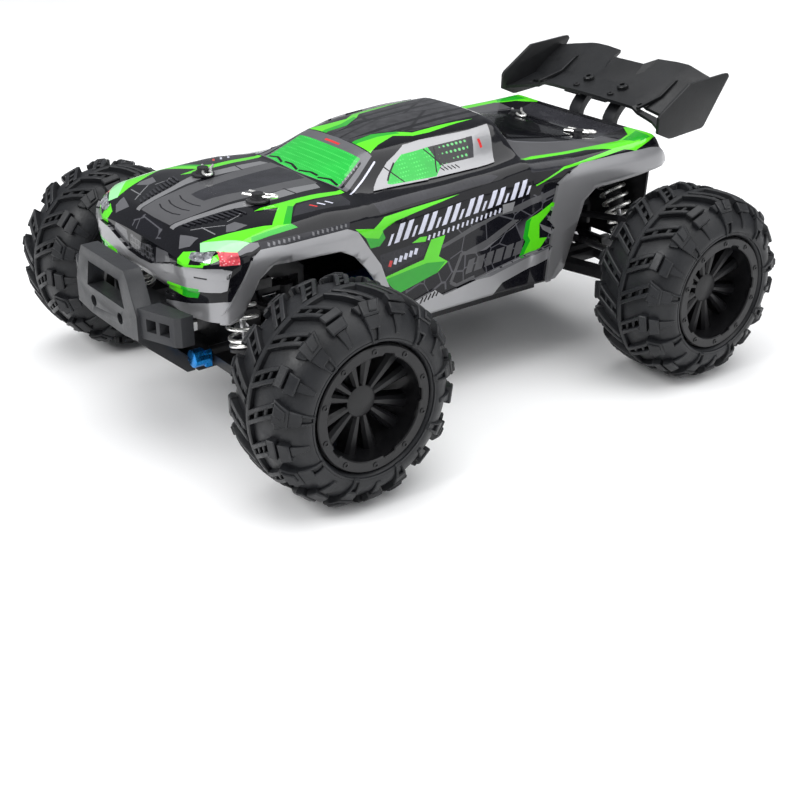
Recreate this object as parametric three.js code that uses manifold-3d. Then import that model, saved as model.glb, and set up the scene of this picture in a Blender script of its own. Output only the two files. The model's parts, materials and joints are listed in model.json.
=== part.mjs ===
// Four-wheel-drive radio-controlled monster truck, about 1:16 scale.
// Millimetres. +Z is up, the nose points along -Y and the truck's left side is +X.
// The truck stands on the plane z = 0 and its outer box is centred on x = 0, y = 0.
import * as THREE from 'three';
import { mergeVertices } from 'three/addons/utils/BufferGeometryUtils.js';
import Module from 'manifold-3d';

const wasm = await Module();
wasm.setup();

// ---- Driving dimensions -------------------------------------------------------------------

const WHEELBASE = 176;
const BOX_SHIFT_Y = -5.6; // moves the wheelbase centre so that the outer box is centred on y = 0
const TYRE_R = 40;
const TYRE_W = 43;
const WHEEL_X = 87.5; // centre plane of a wheel, half of the track
const AXLE_Z = TYRE_R;
const BEAD_R = 24.2; // inner hole of the tyre
const LUGS = 12; // rows of tread around a tyre
const RIM_R = 23.8;
const GAP = 0.4; // clearance between pieces that touch

const ARM_IN = [19, 33]; // x, z of the lower arm's inner pin
const ARM_OUT = [56, 31]; // x, z of the lower arm's outer pin
const ARM_HALF = 15; // half length of the inner boss along the truck
const LINK_IN = [20, 52]; // x, z of the upper link's inner pin
const LINK_OUT = [53, 57];
const KINGPIN_X = 64;
const PIN_R = 1.3;
const BORE_R = 1.75;
const OPEN_BORE_R = 2.1; // bores of the pivots where a linkage loop is left open

const SHOCK_D = 12; // distance of a shock from its axle, towards the truck's nearer end
const SHOCK_LOW = [44, 38.4]; // x, z of the shock's lower pin, on the arm
const SHOCK_TOP = { front: [33.5, 80], rear: [24.5, 73] };
const LINK_D = -0.3; // distance of the upper link from its axle
const TOWER = [3.2, 5.2]; // near and far face of a shock tower, from its axle
const SPRING_R = 5.3; // mean coil radius
const WIRE_R = 0.6;
const SPRING_TURNS = 5.5;

const STEER_LEVER = 17.6; // from the kingpin back to the tie rod's pin
const RACK_Y = -73.6;
const TIE_IN = [18, 44.4]; // x, z of the tie rod's inner pin
const TIE_OUT_Z = 42;
const HORN = [9, -62]; // x, y of the steering servo's shaft

const FLOOR_Z = 25; // underside of the chassis
const FLOOR_T = 3;
const DECK_Z = FLOOR_Z + FLOOR_T;
const SHAFT_Z = 40;
const GEAR_MODULE = 0.9;
const SPUR_TEETH = 24;
const PINION_TEETH = 8;
const SPUR_Y = 48;
const SHELL_T = 1.6;
const POST_R = 2.3;
const POSTS = { front: [20.7, -79.3, 93.5], rear: [20.9, 85.7, 90.5] }; // x, y, top z

const ENDS = { front: -1, rear: 1 };
const SIDES = { left: 1, right: -1 };

// ---- Materials ----------------------------------------------------------------------------

const finish = (color, roughness, metalness) =>
  new THREE.MeshStandardMaterial({ color, roughness, metalness, flatShading: true });

const MATERIAL = {
  tyre: finish(0x26282b, 0.85, 0),
  rim: finish(0x141416, 0.5, 0),
  plastic: finish(0x1c1d20, 0.6, 0),
  shell: finish(0x0d0e10, 0.15, 0),
  spring: finish(0xd8d8d6, 0.25, 1),
  steel: finish(0xb9babb, 0.35, 1),
  blue: finish(0x1487c9, 0.3, 1),
  motor: finish(0x8d9094, 0.35, 1),
  battery: finish(0x23509a, 0.5, 0),
  electronics: finish(0x24262a, 0.55, 0),
  gear: finish(0x3a3c3f, 0.5, 0),
};

// ---- Solids -------------------------------------------------------------------------------

function flipFaces(geometry) {
  const index = geometry.getIndex();
  for (let i = 0; i < index.count; i += 3) {
    const second = index.getX(i + 1);
    index.setX(i + 1, index.getX(i + 2));
    index.setX(i + 2, second);
  }
  return geometry;
}

function welded(geometry) {
  const bare = new THREE.BufferGeometry();
  bare.setAttribute('position', geometry.getAttribute('position').clone());
  if (geometry.getIndex()) bare.setIndex(geometry.getIndex().clone());
  return mergeVertices(bare, 1e-4);
}

function toSolid(geometry) {
  const build = (source) =>
    new wasm.Manifold(
      new wasm.Mesh({
        numProp: 3,
        vertProperties: new Float32Array(source.getAttribute('position').array),
        triVerts: new Uint32Array(source.getIndex().array),
      }),
    );
  const closed = welded(geometry);
  const solid = build(closed);
  return solid.volume() < 0 ? build(flipFaces(closed)) : solid;
}

function toGeometry(solid) {
  const { vertProperties, triVerts } = solid.getMesh();
  const geometry = new THREE.BufferGeometry();
  geometry.setAttribute('position', new THREE.BufferAttribute(vertProperties, 3));
  geometry.setIndex(new THREE.BufferAttribute(triVerts, 1));
  return geometry;
}

const join = (...pieces) =>
  toGeometry(pieces.map(toSolid).reduce((whole, piece) => whole.add(piece)));

const cut = (base, ...tools) =>
  toGeometry(tools.map(toSolid).reduce((rest, tool) => rest.subtract(tool), toSolid(base)));

// Applies a scale to a geometry, and keeps its faces pointing out when the scale mirrors it.
function scaled(geometry, x, y, z) {
  const copy = welded(geometry).scale(x, y, z);
  return x * y * z < 0 ? flipFaces(copy) : copy;
}

// A box between two opposite corners.
function box(low, high) {
  const size = high.map((value, i) => value - low[i]);
  const middle = high.map((value, i) => (value + low[i]) / 2);
  return new THREE.BoxGeometry(...size).translate(...middle);
}

// A round bar between two points.
function bar(radius, from, to, sides = 10) {
  const start = new THREE.Vector3(...from);
  const along = new THREE.Vector3(...to).sub(start);
  const turn = new THREE.Quaternion().setFromUnitVectors(
    new THREE.Vector3(0, 1, 0),
    along.clone().normalize(),
  );
  return new THREE.CylinderGeometry(radius, radius, along.length(), sides)
    .applyQuaternion(turn)
    .translate(...start.addScaledVector(along, 0.5).toArray());
}

function outlineShape(points) {
  return new THREE.Shape(points.map(([a, b]) => new THREE.Vector2(a, b)));
}

// A flat plate: its outline lies across one axis and it spans low to high along that axis.
// Outlines are (x, y) across z, (y, z) across x and (x, z) across y.
function plate(axis, outline, low, high) {
  const flat = new THREE.ExtrudeGeometry(outlineShape(outline), {
    depth: high - low,
    bevelEnabled: false,
  }).translate(0, 0, low);
  const basis = {
    x: [0, 0, 1, 1, 0, 0, 0, 1, 0],
    y: [1, 0, 0, 0, 0, 1, 0, 1, 0],
    z: [1, 0, 0, 0, 1, 0, 0, 0, 1],
  }[axis];
  const [a, b, c, d, e, f, g, h, i] = basis;
  const turn = new THREE.Matrix4().set(a, b, c, 0, d, e, f, 0, g, h, i, 0, 0, 0, 0, 1);
  const placed = welded(flat).applyMatrix4(turn);
  return turn.determinant() < 0 ? flipFaces(placed) : placed;
}

// A solid of revolution about the X axis: its profile is (x, radius).
function turned(profile, segments) {
  const points = profile.map(([x, r]) => new THREE.Vector2(r, x));
  return new THREE.LatheGeometry(points, segments).rotateZ(-Math.PI / 2);
}

// A closed skin through rings of points that all have the same count. Each end is closed by a
// strip that joins the first point to the last, the second to the last but one, and so on.
function loft(rings) {
  const count = rings[0].length;
  const positions = rings.flat(2);
  const faces = [];
  for (let r = 0; r + 1 < rings.length; r += 1) {
    for (let i = 0; i < count; i += 1) {
      const a = r * count + i;
      const b = r * count + ((i + 1) % count);
      faces.push(a, b, b + count, a, b + count, a + count);
    }
  }
  const last = (rings.length - 1) * count;
  for (let i = 0; i + 1 <= count - 2 - i; i += 1) {
    const [a, b, c, d] = [i, i + 1, count - 2 - i, count - 1 - i];
    faces.push(a, d, b, last + a, last + b, last + d);
    if (b < c) faces.push(b, d, c, last + b, last + c, last + d);
  }
  const geometry = new THREE.BufferGeometry();
  geometry.setAttribute('position', new THREE.Float32BufferAttribute(positions, 3));
  geometry.setIndex(faces);
  return geometry;
}

// A bar of a given outline swept along a curve.
function swept(outline, points, steps) {
  const path = new THREE.CatmullRomCurve3(points.map((p) => new THREE.Vector3(...p)));
  return new THREE.ExtrudeGeometry(outlineShape(outline), { steps, extrudePath: path });
}

// ---- The tree -----------------------------------------------------------------------------

const truck = new THREE.Group();
truck.position.y = BOX_SHIFT_Y;

function addPart(name, geometry, material) {
  const mesh = new THREE.Mesh(geometry, material);
  mesh.name = name;
  truck.add(mesh);
}

// ---- Wheels -------------------------------------------------------------------------------

function tyre() {
  const half = TYRE_W / 2;
  const side = [
    [half - 4.5, BEAD_R],
    [half, 29.5],
    [half - 1, 34],
    [half - 6, 37],
  ];
  const profile = [...side, ...side.map(([x, r]) => [-x, r]).reverse(), side[0]];
  // Each lug is a V across the tread, flat on its outer face.
  const tip = half - 2.5;
  const vee = [
    [-tip, -6.5],
    [0, 0.5],
    [tip, -6.5],
    [tip, -2],
    [0, 5],
    [-tip, -2],
  ];
  const lugs = [];
  for (let i = 0; i < LUGS; i += 1) {
    lugs.push(plate('z', vee, 35, TYRE_R).rotateX((i / LUGS) * 2 * Math.PI));
  }
  return join(turned(profile, 2 * LUGS), ...lugs);
}

function rim() {
  const face = TYRE_W / 2 - 2; // outer face of the bead ring
  const barrel = turned(
    [
      [-17.5, 20.5],
      [face - 1.7, 20.5],
      [face - 1.7, 19.5],
      [face, 19.5],
      [face, RIM_R],
      [-17.5, RIM_R],
      [-17.5, 20.5],
    ],
    24,
  );
  const hubFace = face - 8.5;
  const hub = bar(6, [-8, 0, 0], [hubFace, 0, 0], 12);
  const stub = bar(2, [KINGPIN_X - 2 - WHEEL_X, 0, 0], [-7.5, 0, 0]);
  const spokes = [];
  for (let i = 0; i < 6; i += 1) {
    spokes.push(box([hubFace - 5, -3.4, 4], [hubFace - 1, 3.4, 21.5]).rotateX((i * Math.PI) / 3));
  }
  return join(barrel, hub, stub, ...spokes);
}

// ---- Suspension corner, built for the rear left and mirrored for the others ----------------
// Its coordinates are x, distance from the axle towards the truck's nearer end, and z.

function lowerArm() {
  const [inX, inZ] = ARM_IN;
  const [outX, outZ] = ARM_OUT;
  const blade = plate(
    'z',
    [
      [inX, -ARM_HALF],
      [30, -ARM_HALF + 1],
      [50, -9],
      [50.5, 9],
      [47.5, ARM_HALF],
      [inX, ARM_HALF],
    ],
    30,
    34,
  );
  const window = plate('z', [[26, -8], [41, -4.5], [41, 5], [26, 8]], 25, 40);
  const boss = bar(3.2, [inX, -ARM_HALF, inZ], [inX, ARM_HALF, inZ]);
  const innerPin = bar(PIN_R, [inX, -ARM_HALF - 4, inZ], [inX, ARM_HALF + 4, inZ]);
  const outerPin = bar(PIN_R, [outX, -8, outZ], [outX, 8, outZ]);
  const ears = [-1, 1].map((hand) =>
    box([47, hand > 0 ? 6 : -9, 28.2], [outX + 3.2, hand > 0 ? 9 : -6, 34]),
  );
  const [shockX, shockZ] = SHOCK_LOW;
  const shockEar = box([shockX - 2.6, 13.9, 31], [shockX + 2.6, 15.2, shockZ + 2.4]);
  const shockPin = bar(1.1, [shockX, 14.5, shockZ], [shockX, 9.8, shockZ]);
  return join(cut(blade, window), boss, innerPin, outerPin, ...ears, shockEar, shockPin);
}

// The C-shaped carrier that hangs between the lower arm and the upper link.
function carrier(steered) {
  const [outX, outZ] = ARM_OUT;
  const [linkX, linkZ] = LINK_OUT;
  const web = box([52.8, -5, outZ - 2.5], [56.4, 5, 53.2]);
  const boss = bar(3, [outX, -5.4, outZ], [outX, 5.4, outZ]);
  const lug = box([51, -5, 51], [55.8, LINK_D - 2.5, 59.4]);
  const stud = bar(1.1, [linkX, LINK_D - 3, linkZ], [linkX, LINK_D + 2.4, linkZ]);
  const upright = join(web, boss, lug, stud);
  const ears = [
    [27, 30.2],
    [50, 53.2],
  ].map(([low, high]) => box([55, -5, low], [KINGPIN_X + 4.5, 5, high]));
  const pinBore = bar(BORE_R, [outX, -7, outZ], [outX, 7, outZ]);
  const shaftBore = bar(3.6, [50, 0, AXLE_Z], [58, 0, AXLE_Z], 12);
  if (steered) {
    const kingBore = bar(1.9, [KINGPIN_X, 0, 20], [KINGPIN_X, 0, 60]);
    return cut(join(upright, ...ears), pinBore, shaftBore, kingBore);
  }
  const block = box([56, -4.5, 31.5], [67, 4.5, 49]);
  const housing = bar(6.5, [66, 0, AXLE_Z], [75, 0, AXLE_Z], 12);
  const axleBore = bar(2.5, [60.5, 0, AXLE_Z], [80, 0, AXLE_Z], 12);
  const cupBore = bar(3.6, [50, 0, AXLE_Z], [61, 0, AXLE_Z], 12);
  return cut(join(upright, block, housing), pinBore, cupBore, axleBore);
}

function knuckle() {
  const block = box([KINGPIN_X - 4, -4.5, 33.5], [KINGPIN_X + 4, 4.5, 49.2]);
  const collar = bar(2.6, [KINGPIN_X, 0, 30.6], [KINGPIN_X, 0, 34]);
  const housing = bar(6.5, [KINGPIN_X + 3, 0, AXLE_Z], [75, 0, AXLE_Z], 12);
  const kingpins = bar(1.5, [KINGPIN_X, 0, 27.4], [KINGPIN_X, 0, 52.8]);
  const lever = box(
    [KINGPIN_X - 1.8, -STEER_LEVER - 1.8, 36.5],
    [KINGPIN_X + 1.8, -4, 39.5],
  );
  const ball = bar(
    1.1,
    [KINGPIN_X, -STEER_LEVER, 39],
    [KINGPIN_X, -STEER_LEVER, TIE_OUT_Z + 3.6],
  );
  const axleBore = bar(2.5, [50, 0, AXLE_Z], [80, 0, AXLE_Z], 12);
  return cut(join(block, collar, housing, kingpins, lever, ball), axleBore);
}

// A rod with a round eye on each end. Each eye's bore runs along the axis it is given.
function link(from, to, rodR, eyes) {
  const along = new THREE.Vector3(...to).sub(new THREE.Vector3(...from)).normalize();
  const inset = (point, sign, radius) =>
    along.clone().multiplyScalar(sign * radius * 0.8).add(new THREE.Vector3(...point)).toArray();
  const pieces = [
    bar(rodR, inset(from, 1, eyes[0].outer), inset(to, -1, eyes[1].outer), 10),
  ];
  const bores = [];
  [from, to].forEach((point, i) => {
    const { axis, outer, bore, half } = eyes[i];
    const offset = (reach) => point.map((value, k) => value + axis[k] * reach);
    pieces.push(bar(outer, offset(-half), offset(half)));
    bores.push(bar(bore, offset(-half - 1), offset(half + 1), 8));
  });
  return cut(join(...pieces), ...bores);
}

function upperLink() {
  const eye = { axis: [0, 1, 0], outer: 3, half: 2 };
  return link([LINK_IN[0], LINK_D, LINK_IN[1]], [LINK_OUT[0], LINK_D, LINK_OUT[1]], 1.5, [
    { ...eye, bore: BORE_R },
    { ...eye, bore: OPEN_BORE_R },
  ]);
}

function driveshaft() {
  return join(
    bar(1.5, [17, 0, AXLE_Z], [56, 0, AXLE_Z]),
    bar(2.6, [16.8, 0, AXLE_Z], [20, 0, AXLE_Z]),
  );
}

// Places a shock drawn along +Y from its top eye (at the origin) onto its own two pins.
function placeShock(geometry, top) {
  const down = new THREE.Vector3(SHOCK_LOW[0] - top[0], 0, SHOCK_LOW[1] - top[1]).normalize();
  const basis = new THREE.Matrix4().makeBasis(
    new THREE.Vector3(down.z, 0, -down.x),
    down,
    new THREE.Vector3(0, 1, 0),
  );
  basis.setPosition(top[0], SHOCK_D, top[1]);
  const placed = welded(geometry).applyMatrix4(basis);
  return basis.determinant() < 0 ? flipFaces(placed) : placed;
}

const shockLength = (top) => Math.hypot(SHOCK_LOW[0] - top[0], SHOCK_LOW[1] - top[1]);
const SHOCK_COLLAR = [6, 7.6]; // spring collar on the shock body, along the shock
const SHOCK_BODY_END = 25;
const SHOCK_SEAT = 6; // the rod's spring seat, above the lower pin
const SHOCK_R = 3.9;

function shockBody(top) {
  const [low, high] = SHOCK_COLLAR;
  const pieces = join(
    bar(SHOCK_R, [0, 2, 0], [0, SHOCK_BODY_END, 0], 12),
    bar(6.4, [0, low, 0], [0, high, 0], 12),
    bar(3.4, [0, 0, -1.6], [0, 0, 1.6], 12),
  );
  const eye = bar(BORE_R, [0, 0, -3], [0, 0, 3]);
  const bore = bar(1.7, [0, 8.5, 0], [0, SHOCK_BODY_END + 1, 0]);
  return placeShock(cut(pieces, eye, bore), top);
}

function shockRod(top) {
  const end = shockLength(top);
  const pieces = join(
    bar(1.2, [0, 14, 0], [0, end - 2.2, 0]),
    bar(6.4, [0, end - SHOCK_SEAT, 0], [0, end - SHOCK_SEAT + 1.5, 0], 12),
    bar(3.2, [0, end, -1.4], [0, end, 1.4], 12),
  );
  const eye = bar(OPEN_BORE_R, [0, end, -3], [0, end, 3]);
  return placeShock(cut(pieces, eye), top);
}

function spring(top) {
  const start = SHOCK_COLLAR[1] + WIRE_R + GAP;
  const end = shockLength(top) - SHOCK_SEAT - WIRE_R - GAP;
  const coil = new (class extends THREE.Curve {
    getPoint(t, target = new THREE.Vector3()) {
      const angle = t * SPRING_TURNS * 2 * Math.PI;
      return target.set(
        SPRING_R * Math.cos(angle),
        start + t * (end - start),
        SPRING_R * Math.sin(angle),
      );
    }
  })();
  const wire = [];
  for (let i = 0; i < 4; i += 1) {
    const angle = (i / 4) * 2 * Math.PI;
    wire.push([WIRE_R * Math.cos(angle), WIRE_R * Math.sin(angle)]);
  }
  const steps = Math.round(SPRING_TURNS * 8);
  const geometry = new THREE.ExtrudeGeometry(outlineShape(wire), { steps, extrudePath: coil });
  return placeShock(join(geometry), top);
}

function tieRod() {
  return link(
    [TIE_IN[0], -STEER_LEVER, TIE_IN[1]],
    [KINGPIN_X, -STEER_LEVER, TIE_OUT_Z],
    1.3,
    [
      { axis: [0, 1, 0], outer: 3, bore: BORE_R, half: 1.3 },
      { axis: [0, 0, 1], outer: 3.5, bore: 2.6, half: 1.3 },
    ],
  );
}

for (const [end, ahead] of Object.entries(ENDS)) {
  const axleY = (ahead * WHEELBASE) / 2;
  const top = SHOCK_TOP[end];
  const steered = end === 'front';
  const corner = {
    lower_arm: [lowerArm(), MATERIAL.plastic],
    [steered ? 'caster_block' : 'hub_carrier']: [carrier(steered), MATERIAL.plastic],
    upper_link: [upperLink(), MATERIAL.plastic],
    driveshaft: [driveshaft(), MATERIAL.steel],
    shock_body: [shockBody(top), MATERIAL.plastic],
    shock_rod: [shockRod(top), MATERIAL.steel],
    spring: [spring(top), MATERIAL.spring],
  };
  if (steered) {
    corner.knuckle = [knuckle(), MATERIAL.plastic];
    corner.tie_rod = [tieRod(), MATERIAL.steel];
  }
  for (const [side, hand] of Object.entries(SIDES)) {
    for (const [part, [geometry, material]] of Object.entries(corner)) {
      const placed = scaled(geometry, hand, ahead, 1).translate(0, axleY, 0);
      addPart(`${end}_${side}_${part}`, placed, material);
    }
    for (const [part, geometry, material] of [
      ['tyre', tyre(), MATERIAL.tyre],
      ['rim', rim(), MATERIAL.rim],
    ]) {
      const placed = scaled(geometry, hand, 1, 1).translate(hand * WHEEL_X, axleY, AXLE_Z);
      addPart(`${end}_${side}_${part}`, placed, material);
    }
  }
}

// ---- Drive train and steering inside the chassis ---------------------------------------------

function gear(teeth, bore, turn) {
  const pitchR = (GEAR_MODULE * teeth) / 2;
  const outline = [];
  for (let i = 0; i < teeth; i += 1) {
    for (const [part, radius] of [
      [-0.3, pitchR - 1.3 * GEAR_MODULE],
      [-0.12, pitchR + 0.7 * GEAR_MODULE],
      [0.12, pitchR + 0.7 * GEAR_MODULE],
      [0.3, pitchR - 1.3 * GEAR_MODULE],
    ]) {
      const angle = ((i + part) / teeth) * 2 * Math.PI + turn;
      outline.push([radius * Math.cos(angle), radius * Math.sin(angle)]);
    }
  }
  return bore > 0
    ? cut(plate('y', outline, -2, 2), bar(bore, [0, -3, 0], [0, 3, 0]))
    : join(plate('y', outline, -2, 2));
}

const PINION_X = (-GEAR_MODULE * (SPUR_TEETH + PINION_TEETH)) / 2;
const SHAFT_R = 1.8;
addPart(
  'centre_shaft',
  bar(SHAFT_R, [0, -75.4, SHAFT_Z], [0, 75.4, SHAFT_Z]),
  MATERIAL.steel,
);
addPart(
  'spur_gear',
  gear(SPUR_TEETH, SHAFT_R + GAP, 0).translate(0, SPUR_Y, SHAFT_Z),
  MATERIAL.gear,
);
addPart(
  'pinion_gear',
  join(
    gear(PINION_TEETH, 0, Math.PI / PINION_TEETH),
    bar(1.2, [0, -5.4, 0], [0, 3, 0]),
  ).translate(PINION_X, SPUR_Y, SHAFT_Z),
  MATERIAL.steel,
);

function motor() {
  const radius = 11;
  const can = bar(radius, [0, -36, 0], [0, -8, 0], 20);
  const endBell = bar(radius - 1.2, [0, -39, 0], [0, -36, 0], 20);
  const nose = bar(3.5, [0, -8, 0], [0, -6.4, 0], 12);
  return join(can, endBell, nose).translate(PINION_X, SPUR_Y, SHAFT_Z);
}

addPart('motor', motor(), MATERIAL.motor);

// A box with its upright edges cut off at a slant.
function cornered(low, high, chamfer) {
  const [x0, y0, z0] = low;
  const [x1, y1, z1] = high;
  const c = chamfer;
  return plate(
    'z',
    [
      [x0 + c, y0],
      [x1 - c, y0],
      [x1, y0 + c],
      [x1, y1 - c],
      [x1 - c, y1],
      [x0 + c, y1],
      [x0, y1 - c],
      [x0, y0 + c],
    ],
    z0,
    z1,
  );
}

addPart('battery_pack', cornered([7, -40, DECK_Z + GAP], [25.4, 36, 46], 3), MATERIAL.battery);
addPart('receiver_box', cornered([-25.4, -42, DECK_Z + GAP], [-8, 2, 43], 2), MATERIAL.electronics);

function steeringServo() {
  const [x, y] = HORN;
  return join(
    cornered([x - 6, y - 5, DECK_Z + GAP], [x + 6, y + 18, 42], 1),
    box([x - 6, y - 6.5, 37.5], [x + 6, y + 21, 39.5]),
    bar(4, [x, y, 41], [x, y, 43.6], 12),
  );
}

addPart('steering_servo', steeringServo(), MATERIAL.electronics);

function servoHorn() {
  const [x, y] = HORN;
  return join(
    bar(3.6, [x, y, 44], [x, y, 50], 12),
    box([x - 1.8, RACK_Y - 1.8, 47.8], [x + 1.8, y, 50]),
    bar(1, [x, RACK_Y, 44.9], [x, RACK_Y, 49]),
  );
}

addPart('servo_horn', servoHorn(), MATERIAL.plastic);

function steeringRack() {
  const beam = box([-21, RACK_Y - 1.4, 42.4], [21, RACK_Y + 1.4, 46.4]);
  const hornSlot = box([HORN[0] - 1.5, RACK_Y - 3, 44.3], [HORN[0] + 1.5, RACK_Y + 3, 48]);
  const pins = Object.values(SIDES).map((hand) =>
    bar(
      1.1,
      [hand * TIE_IN[0], RACK_Y, TIE_IN[1]],
      [hand * TIE_IN[0], -WHEELBASE / 2 + STEER_LEVER + 2.4, TIE_IN[1]],
    ),
  );
  return join(cut(beam, hornSlot), ...pins);
}

addPart('steering_rack', steeringRack(), MATERIAL.plastic);

// ---- Chassis ----------------------------------------------------------------------------------

const ARM_Y = WHEELBASE / 2;

const mirrored = (half) => [...half, ...half.map(([x, y]) => [-x, y]).reverse()];

function chassisPlate() {
  const halfFloor = [
    [14.5, -106],
    [14.5, -66],
    [28, -56],
    [28, 57],
    [14.5, 66],
    [14.5, 106],
  ];
  const halfHollow = [
    [16.5, -70],
    [16.5, -62],
    [26, -55],
    [26, 56],
    [16.5, 62],
    [16.5, 70],
  ];
  const tub = plate('z', mirrored(halfFloor.slice(1, 5)), DECK_Z - 1, 36);
  const hollow = plate('z', mirrored(halfHollow), DECK_Z, 40);
  const pieces = [plate('z', mirrored(halfFloor), FLOOR_Z, DECK_Z), cut(tub, hollow)];
  const bores = [];
  for (const ahead of Object.values(ENDS)) {
    const near = ahead * (ARM_Y - ARM_HALF - 1);
    const far = ahead * (ARM_Y - ARM_HALF - 3.8);
    const [low, high] = [Math.min(near, far), Math.max(near, far)];
    pieces.push(box([-23, low, DECK_Z - 1], [23, high, 37]));
    for (const hand of Object.values(SIDES)) {
      const x = hand * ARM_IN[0];
      bores.push(bar(BORE_R, [x, low - 2, ARM_IN[1]], [x, high + 2, ARM_IN[1]]));
    }
  }
  for (const hand of Object.values(SIDES)) {
    const xs = [hand * 2.6, hand * 6.4].sort((a, b) => a - b);
    pieces.push(box([xs[0], RACK_Y - 1.2, 36], [xs[1], -69.5, 42]));
  }
  const motorWall = box([PINION_X - 11, SPUR_Y - 6, DECK_Z - 1], [PINION_X + 11, SPUR_Y - 4, 52]);
  const motorBore = bar(3, [PINION_X, 30, SHAFT_Z], [PINION_X, 60, SHAFT_Z], 12);
  const shaftBore = bar(2.6, [0, 30, SHAFT_Z], [0, 60, SHAFT_Z], 12);
  return cut(join(...pieces, motorWall), ...bores, motorBore, shaftBore);
}

addPart('chassis_plate', chassisPlate(), MATERIAL.plastic);

function gearbox() {
  const lower = box([-13, -12, DECK_Z + GAP], [13, TOWER[0] - GAP, 44]);
  const upper = plate('y', [[-13, 43], [13, 43], [9, 51], [-9, 51]], -12, TOWER[0] - GAP);
  const cups = bar(4, [-15, 0, AXLE_Z], [15, 0, AXLE_Z], 12);
  const mouths = Object.values(SIDES).map((hand) =>
    bar(2.4, [hand * 13.6, 0, AXLE_Z], [hand * 16, 0, AXLE_Z]),
  );
  return cut(join(lower, upper, cups), ...mouths);
}

function pinBrace() {
  const near = ARM_HALF + 0.8;
  const beam = box([-22, near, 29.4], [22, near + 2.7, 36.6]);
  const collars = Object.values(SIDES).map((hand) =>
    bar(3.6, [hand * ARM_IN[0], near, ARM_IN[1]], [hand * ARM_IN[0], near + 7, ARM_IN[1]], 12),
  );
  const bores = Object.values(SIDES).map((hand) =>
    bar(
      BORE_R,
      [hand * ARM_IN[0], near - 1, ARM_IN[1]],
      [hand * ARM_IN[0], near + 4.5, ARM_IN[1]],
    ),
  );
  return cut(join(beam, ...collars), ...bores);
}

// The shock tower also carries the two body posts on a bridge over the gearbox.
function shockTower(end) {
  const ahead = ENDS[end];
  const [topX, topZ] = SHOCK_TOP[end];
  const [postX, postY, postTop] = POSTS[end];
  const post = (postY - ahead * ARM_Y) * ahead;
  const half = [
    [11, 46],
    [24, 47],
    [24, 55],
    [topX - 2, topZ - 14],
    [topX + 4.5, topZ - 3],
    [topX + 3.5, topZ + 3.6],
    [topX - 4, topZ + 3.6],
    [8, topZ - 11],
  ];
  const [near, far] = TOWER;
  const pieces = [plate('y', mirrored(half), near, far)];
  pieces.push(box([-postX - 3, post - 2.8, 56], [postX + 3, near + 1, 60]));
  for (const hand of Object.values(SIDES)) {
    pieces.push(
      bar(1.2, [hand * topX, near + 1, topZ], [hand * topX, SHOCK_D + 2.4, topZ]),
      bar(1.1, [hand * LINK_IN[0], near + 1, LINK_IN[1]], [hand * LINK_IN[0], -2.7, LINK_IN[1]]),
      bar(POST_R, [hand * postX, post, 58], [hand * postX, post, postTop], 12),
    );
  }
  return join(...pieces);
}

for (const [end, ahead] of Object.entries(ENDS)) {
  const place = (geometry) => scaled(geometry, 1, ahead, 1).translate(0, ahead * ARM_Y, 0);
  addPart(`${end}_gearbox`, place(gearbox()), MATERIAL.plastic);
  addPart(`${end}_pin_brace`, place(pinBrace()), MATERIAL.blue);
  addPart(`${end}_shock_tower`, place(shockTower(end)), MATERIAL.plastic);
}

// ---- Front bumper -------------------------------------------------------------------------------

const BUMPER_FRONT = -135;

function frontBumper() {
  const half = [
    [17.5, 74],
    [19.5, 71],
    [25, 58.5],
    [25, 49],
    [14, 47.5],
  ];
  const panel = plate('y', mirrored(half), BUMPER_FRONT, BUMPER_FRONT + 7);
  const opening = plate(
    'y',
    [
      [-12.5, 69],
      [12.5, 69],
      [15.5, 58.5],
      [-15.5, 58.5],
    ],
    BUMPER_FRONT - 1,
    BUMPER_FRONT + 8,
  );
  const pieces = [];
  const holes = [opening];
  for (const hand of Object.values(SIDES)) {
    const wing = [
      [24, BUMPER_FRONT + 1],
      [40.5, BUMPER_FRONT + 7],
      [42, BUMPER_FRONT + 9],
      [42, BUMPER_FRONT + 14],
      [24, BUMPER_FRONT + 10],
    ].map(([x, y]) => [hand * x, y]);
    pieces.push(plate('z', hand > 0 ? wing : wing.reverse(), 50, 61.5));
    const hole = [hand * 11, BUMPER_FRONT, 53.3];
    holes.push(bar(2.3, [hole[0], hole[1] - 1, hole[2]], [hole[0], hole[1] + 8, hole[2]], 12));
    for (const x of [30, 36]) {
      const xs = [hand * (x - 2.2), hand * (x + 2.2)].sort((a, b) => a - b);
      holes.push(box([xs[0], BUMPER_FRONT - 1, 53.3], [xs[1], BUMPER_FRONT + 16, 58.2]));
    }
  }
  const skid = plate(
    'x',
    [
      [BUMPER_FRONT + 2, 49],
      [BUMPER_FRONT + 7, 49],
      [-107.5, 30],
      [-106.6, 28],
      [-106.6, 25],
      [-110, 25],
      [BUMPER_FRONT + 4, 44],
    ],
    -13,
    13,
  );
  const stay = box([-8, BUMPER_FRONT + 6, 48], [8, -112, 54]);
  const strut = box([-8, -115, 34], [8, -112, 54]);
  return cut(join(panel, ...pieces, skid, stay, strut), ...holes);
}

addPart('front_bumper', frontBumper(), MATERIAL.plastic);

// ---- Body shell -----------------------------------------------------------------------------------
// Half sections across the truck, from the centre line out and down: a station y and (x, z) points.

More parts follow.
